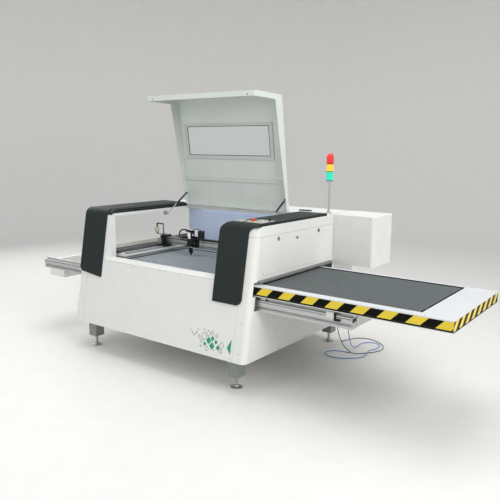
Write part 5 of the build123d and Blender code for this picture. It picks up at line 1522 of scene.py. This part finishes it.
@dataclass
class Rear:
    """Collar clips, sockets and screws on the back, and screws and seam of the tube housing.

    Attributes:
        face: y of the rear panel.
        collars: x of the two exhaust collars.
        collar_height: height of their middles.
        ports: x of the two water ports.
        housing: x of the tube housing's right face and y of its front one.
        housing_top: height of its top.
    """

    face: float = 1574.0
    collars: Span = (520.0, 1555.0)
    collar_height: float = 480.0
    ports: Span = (1700.0, 1760.0)
    housing: Span = (2477.0, 1172.0)
    housing_top: float = 1322.0

    def build(self) -> None:
        """Draws the back of the machine and the housing's details."""
        clips, z = Piece("collar_clips", CHROME), self.collar_height
        for x in self.collars:
            profile = [(75.0, 0.0), (76.4, 0.4), (76.4, 11.6), (75.0, 12.0)]
            clips.lathe((x, self.face + 26, z), (0, 1, 0), profile, 56)
            clips.box((x - 9, self.face + 28, z + 76.2), (x + 9, self.face + 36, z + 84), 1.0)
        clips.done()
        columns, rows = (40, 540, 1040, 1540, 2030), (290, 660, 1290)
        screws("rear_screws", [((x, self.face, z), (0, 1, 0)) for x in columns for z in rows])
        self._sockets()
        self._housing()

    def _sockets(self) -> None:
        """Mains inlet and water ports."""
        socket, plate = Piece("power_inlet", BLACK), Piece("power_inlet_face", STEEL)
        plate.box((1840, self.face, 330), (1930, self.face + 1.4, 400), 0.6)
        socket.box((1856, self.face + 1.4, 342), (1914, self.face + 7, 388), 2.0)
        socket.done()
        plate.done()
        water = Piece("water_ports", BRASS, slot="aluminium")
        profile = [(11, 0), (11, 5), (6, 6), (7, 14), (5.4, 15), (6.4, 22), (4.6, 24), (0, 24)]
        for x in self.ports:
            water.lathe((x, self.face, 360), (0, 1, 0), profile, 24)
        water.done()

    def _housing(self) -> None:
        """Screws and seam of the tube housing."""
        right, front = self.housing
        heights = (890, 1294)
        places = [((right, y, z), (1, 0, 0)) for y in (1210, 1536) for z in heights]
        places += [((x, front, z), (0, -1, 0)) for x in (2100, 2440) for z in heights]
        screws("housing_screws", places, 4.0)
        lines, top = Piece("housing_seam", SHADOW), self.housing_top
        lines.box((WIDTH, front - 0.2, 862), (WIDTH + 1.4, front + 0.2, top))
        lines.box((WIDTH, front + 1, top - 0.1), (WIDTH + 1.4, self.face - 1, top + 0.2))
        lines.done()


@dataclass(frozen=True)
class Cord:
    """A hose or cable: its route, thickness and what it is like.

    Attributes:
        name: name of the object.
        node: the solid that it replaces.
        finish: its finish.
        radius: its radius in millimetres.
        far_end: kind of end.
        stiffness: how stiff it is; not used.
        length: length in metres, as measured; not used.
        route: points from the gland to the far end.
    """

    name: str
    node: str
    finish: Finish
    radius: float
    far_end: str
    stiffness: str
    length: float
    route: Tuple[Point, ...]

    def build(self) -> None:
        curve = bpy.data.curves.new(self.name, "CURVE")
        curve.dimensions = "3D"
        line = curve.splines.new("NURBS")
        line.points.add(len(self.route) - 1)
        for point, place in zip(line.points, self.route):
            point.co = (*self._spot(place), 1.0)
        line.order_u = 3
        line.use_endpoint_u = True
        curve.resolution_u = 12
        curve.bevel_depth = self.radius * MM
        curve.bevel_resolution = 4
        curve.use_fill_caps = True
        curve.materials.append(SHOP.material(self.finish))
        made = bpy.data.objects.new(self.name, curve)
        bpy.context.scene.collection.objects.link(made)
        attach(made, "cabinet")
        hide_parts(self.node)
        end = self._end()
        sleeve = self._sleeve()

    @staticmethod
    def _spot(place: Point) -> Vector:
        """Point of a route in the shared frame, its Y measured from the rear rail's middle."""
        return SHARED @ (Vector(place) + Vector((0.0, CORD_ROW, 0.0)))

    def _end(self) -> bpy.types.Object:
        """Makes the fitting or plug on the far end.

        Returns:
            The end's object.
        """
        row = Vector((0.0, CORD_ROW, 0.0))
        last, before = Vector(self.route[-1]) + row, Vector(self.route[-2]) + row
        fitting = self.far_end == "fitting"
        part = Piece(f"{self.name}_end", CABLE if fitting else BLACK, slot="black_plastic")
        r, wide = self.radius, self.radius + 0.4
        if fitting:
            profile = [(r + 0.2, 0.0), (r + 0.2, 5.0), (wide, 6.0), (wide, 15.0), (r - 0.6, 16.0),
                       (r - 0.6, 24.0), (r - 1.6, 26.0), (0.0, 26.0)]
        else:
            profile = [(r + 0.1, 0.0), (wide, 3.0), (wide, 18.0), (r - 0.2, 19.0), (r - 0.2, 29.0),
                       (r - 0.8, 30.0), (0.0, 30.0)]
        part.lathe(last, last - before, profile, 24)
        made = part.done()
        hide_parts("cord_ends")
        return made

    def _sleeve(self) -> bpy.types.Object:
        """Makes the tapered sleeve below the gland.

        Returns:
            The sleeve's object.
        """
        top = Vector(self.route[0]) + Vector((0.0, CORD_ROW, 0.0))
        part = Piece(f"{self.name}_sleeve", BLACK)
        r = self.radius
        part.lathe(top, (0, 0, -1), [(r + 0.3, 0.0), (r + 3.0, 0.2), (r + 2.4, 6.0), (r + 0.5, 24.0),
                                     (r + 0.3, 24.4)], 24)
        return part.done()


CORD_ROW = 884.0
GLAND = 642.0
HOSE_FLOOR = 4.5
CABLE_FLOOR = 4.0
HOSE_OVER = 20.0
HOSE_ROUTE: Tuple[Point, ...] = (
    (2390, 0, GLAND), (2390, 0, 556), (2385, 15, 470), (2376, 48, 388), (2362, 98, 308), (2342, 160, 232),
    (2316, 232, 162), (2288, 312, 104), (2262, 398, 58), (2240, 488, 24), (2223, 578, HOSE_FLOOR),
    (2214, 664, HOSE_FLOOR), (2240, 744, HOSE_FLOOR), (2316, 780, HOSE_FLOOR), (2388, 740, HOSE_FLOOR),
    (2408, 661, HOSE_FLOOR), (2392, 578, HOSE_FLOOR), (2384, 498, HOSE_OVER), (2408, 416, HOSE_OVER),
    (2412, 334, HOSE_FLOOR), (2362, 256, HOSE_FLOOR), (2290, 188, HOSE_FLOOR), (2200, 146, HOSE_FLOOR),
    (2106, 158, HOSE_FLOOR), (2054, 228, HOSE_FLOOR), (2080, 306, HOSE_FLOOR), (2150, 348, HOSE_FLOOR),
    (2232, 356, HOSE_FLOOR),
)
CABLE_ROUTE: Tuple[Point, ...] = (
    (2295, 0, GLAND), (2295, 0, 560), (2290, 9, 480), (2282, 28, 400), (2274, 58, 322), (2270, 98, 246),
    (2270, 148, 172), (2276, 206, 106), (2288, 268, 52), (2308, 330, 16), (2338, 396, CABLE_FLOOR),
    (2390, 460, CABLE_FLOOR), (2440, 536, CABLE_FLOOR), (2462, 628, CABLE_FLOOR), (2438, 718, CABLE_FLOOR),
    (2374, 792, CABLE_FLOOR), (2288, 844, CABLE_FLOOR), (2192, 858, CABLE_FLOOR), (2110, 816, CABLE_FLOOR),
    (2064, 736, CABLE_FLOOR), (2036, 646, CABLE_FLOOR),
)
CORDS = (
    Cord("blue_air_hose", "air_hose", HOSE, 4.0, "fitting", "medium", 2.386, HOSE_ROUTE),
    Cord("dark_sensor_cable", "sensor_cable", CABLE, 3.5, "connector", "medium", 1.744, CABLE_ROUTE),
)


@dataclass
class Studio:
    """Floor, backdrop, lights and the camera at the photograph's place, in metres and radians.

    Attributes:
        eye: where the camera is.
        yaw: its turn from straight ahead to the left.
        pitch: its turn upwards.
        roll: its turn about its own axis.
        lens: its focal length in millimetres.
        floor_radius: radius of the flat floor.
        wall_bend: radius of the bend from the floor to the wall.
        wall_top: height of the wall.
        aim: point that the lights face.
        lamps: name, place, size and power of each light.
    """

    eye: Tuple[float, float, float] = (3.2786, -4.4078, 1.9202)
    yaw: float = 0.6406
    pitch: float = -0.17
    roll: float = 0.0085
    lens: float = 43.07
    floor_radius: float = 7.5
    wall_bend: float = 3.0
    wall_top: float = 9.0
    aim: Point = (0.2, 0.0, 0.8)
    lamps: Tuple[Tuple[str, Point, float, float], ...] = (
        ("key", (6.2, -2.0, 4.6), 4.0, 275.0), ("front", (-2.0, -6.5, 3.8), 4.5, 82.0),
        ("top", (0.0, 0.5, 6.5), 5.0, 205.0), ("left", (-6.0, 1.0, 3.5), 3.5, 85.0),
    )

    def build(self) -> None:
        """Sets up everything round the machine."""
        self._floor()
        self._lights()
        self._camera()
        scene = bpy.context.scene
        scene.view_settings.view_transform = "Standard"
        scene.view_settings.exposure = 0.0

    def _floor(self) -> None:
        """Round floor that rises into a pale wall."""
        mesh = bmesh.new()
        flat, bend = self.floor_radius, self.wall_bend
        profile = [(0.0, 0.0), (flat * 0.4, 0.0), (flat, 0.0)]
        profile += [(flat + bend * sin(pi / 20 * k), bend - bend * cos(pi / 20 * k)) for k in range(1, 11)]
        profile += [(flat + bend, self.wall_top)]
        line = [mesh.verts.new((out, 0.0, up)) for out, up in profile]
        edges = [mesh.edges.new(pair) for pair in zip(line, line[1:])]
        bmesh.ops.spin(mesh, geom=[*line, *edges], cent=(0.0, 0.0, 0.0), axis=(0.0, 0.0, 1.0), angle=2 * pi,
                       steps=96, use_merge=True, use_duplicate=False)
        bmesh.ops.remove_doubles(mesh, verts=mesh.verts, dist=1e-5)
        mesh.normal_update()
        inside = Vector((0, 0, 3))
        turned = [f for f in mesh.faces if f.normal.dot(inside - f.calc_center_median()) < 0]
        bmesh.ops.reverse_faces(mesh, faces=turned)
        data = bpy.data.meshes.new("floor")
        mesh.to_mesh(data)
        mesh.free()
        data.polygons.foreach_set("use_smooth", [True] * len(data.polygons))
        data.materials.append(SHOP.material(FLOOR))
        floor = bpy.data.objects.new("floor", data)
        bpy.context.scene.collection.objects.link(floor)

    def _lights(self) -> None:
        """Large soft sources above and in front, and a pale surround."""
        world = bpy.data.worlds.new("surround")
        bpy.context.scene.world = world
        world.use_nodes = True
        back = world.node_tree.nodes["Background"]
        back.inputs["Color"].default_value = (0.90, 0.94, 1.0, 1.0)
        back.inputs["Strength"].default_value = 0.50
        for name, place, size, power in self.lamps:
            lamp = bpy.data.lights.new(name, "AREA")
            lamp.energy = power
            lamp.size = size
            lamp.color = (1.0, 0.985, 0.96)
            made = bpy.data.objects.new(name, lamp)
            made.location = place
            made.rotation_mode = "QUATERNION"
            made.rotation_quaternion = (Vector(self.aim) - Vector(place)).to_track_quat("-Z", "Y")
            bpy.context.scene.collection.objects.link(made)

    def _camera(self) -> None:
        """Camera with the place and turn worked out from the photograph."""
        ahead = Vector((-sin(self.yaw) * cos(self.pitch), cos(self.yaw) * cos(self.pitch), sin(self.pitch)))
        level = Vector((cos(self.yaw), sin(self.yaw), 0.0))
        above = level.cross(ahead)
        right = level * cos(self.roll) + above * sin(self.roll)
        up = above * cos(self.roll) - level * sin(self.roll)
        data = bpy.data.cameras.new("camera")
        data.lens = self.lens
        data.sensor_width = 36.0
        data.clip_end = 60.0
        camera = bpy.data.objects.new("camera", data)
        camera.matrix_world = Matrix((
            (right.x, up.x, -ahead.x, self.eye[0]),
            (right.y, up.y, -ahead.y, self.eye[1]),
            (right.z, up.z, -ahead.z, self.eye[2]),
            (0.0, 0.0, 0.0, 1.0),
        ))
        bpy.context.scene.collection.objects.link(camera)
        bpy.context.scene.camera = camera


def paint_nodes() -> None:
    """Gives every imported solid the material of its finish."""
    left = set(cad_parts)
    for finish, names in NODE_FINISH.items():
        for name in names.split():
            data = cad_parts[name].data
            data.materials.clear()
            data.materials.append(SHOP.material(finish))
            left.discard(name)
    if left:
        raise ValueError(f"no finish for {sorted(left)}")


def main() -> None:
    """Draws the whole machine and its studio."""
    logging.basicConfig(level=logging.INFO)
    paint_nodes()
    parts = [
        Cabinet(), Feet(), ServiceSide(), ExchangeTable(2020.0, 1, "right_exchange_table"),
        ExchangeTable(1809.0, -1, "left_exchange_table"), Rails(), Interior(), Gantry(), Head(),
        Lid(), Struts(), Controls(), SignalLight(), Rear(), *CORDS, Studio(),
    ]
    for part in parts:
        part.build()
        LOG.info("%s done", type(part).__name__)


if __name__ == "__main__":
    main()
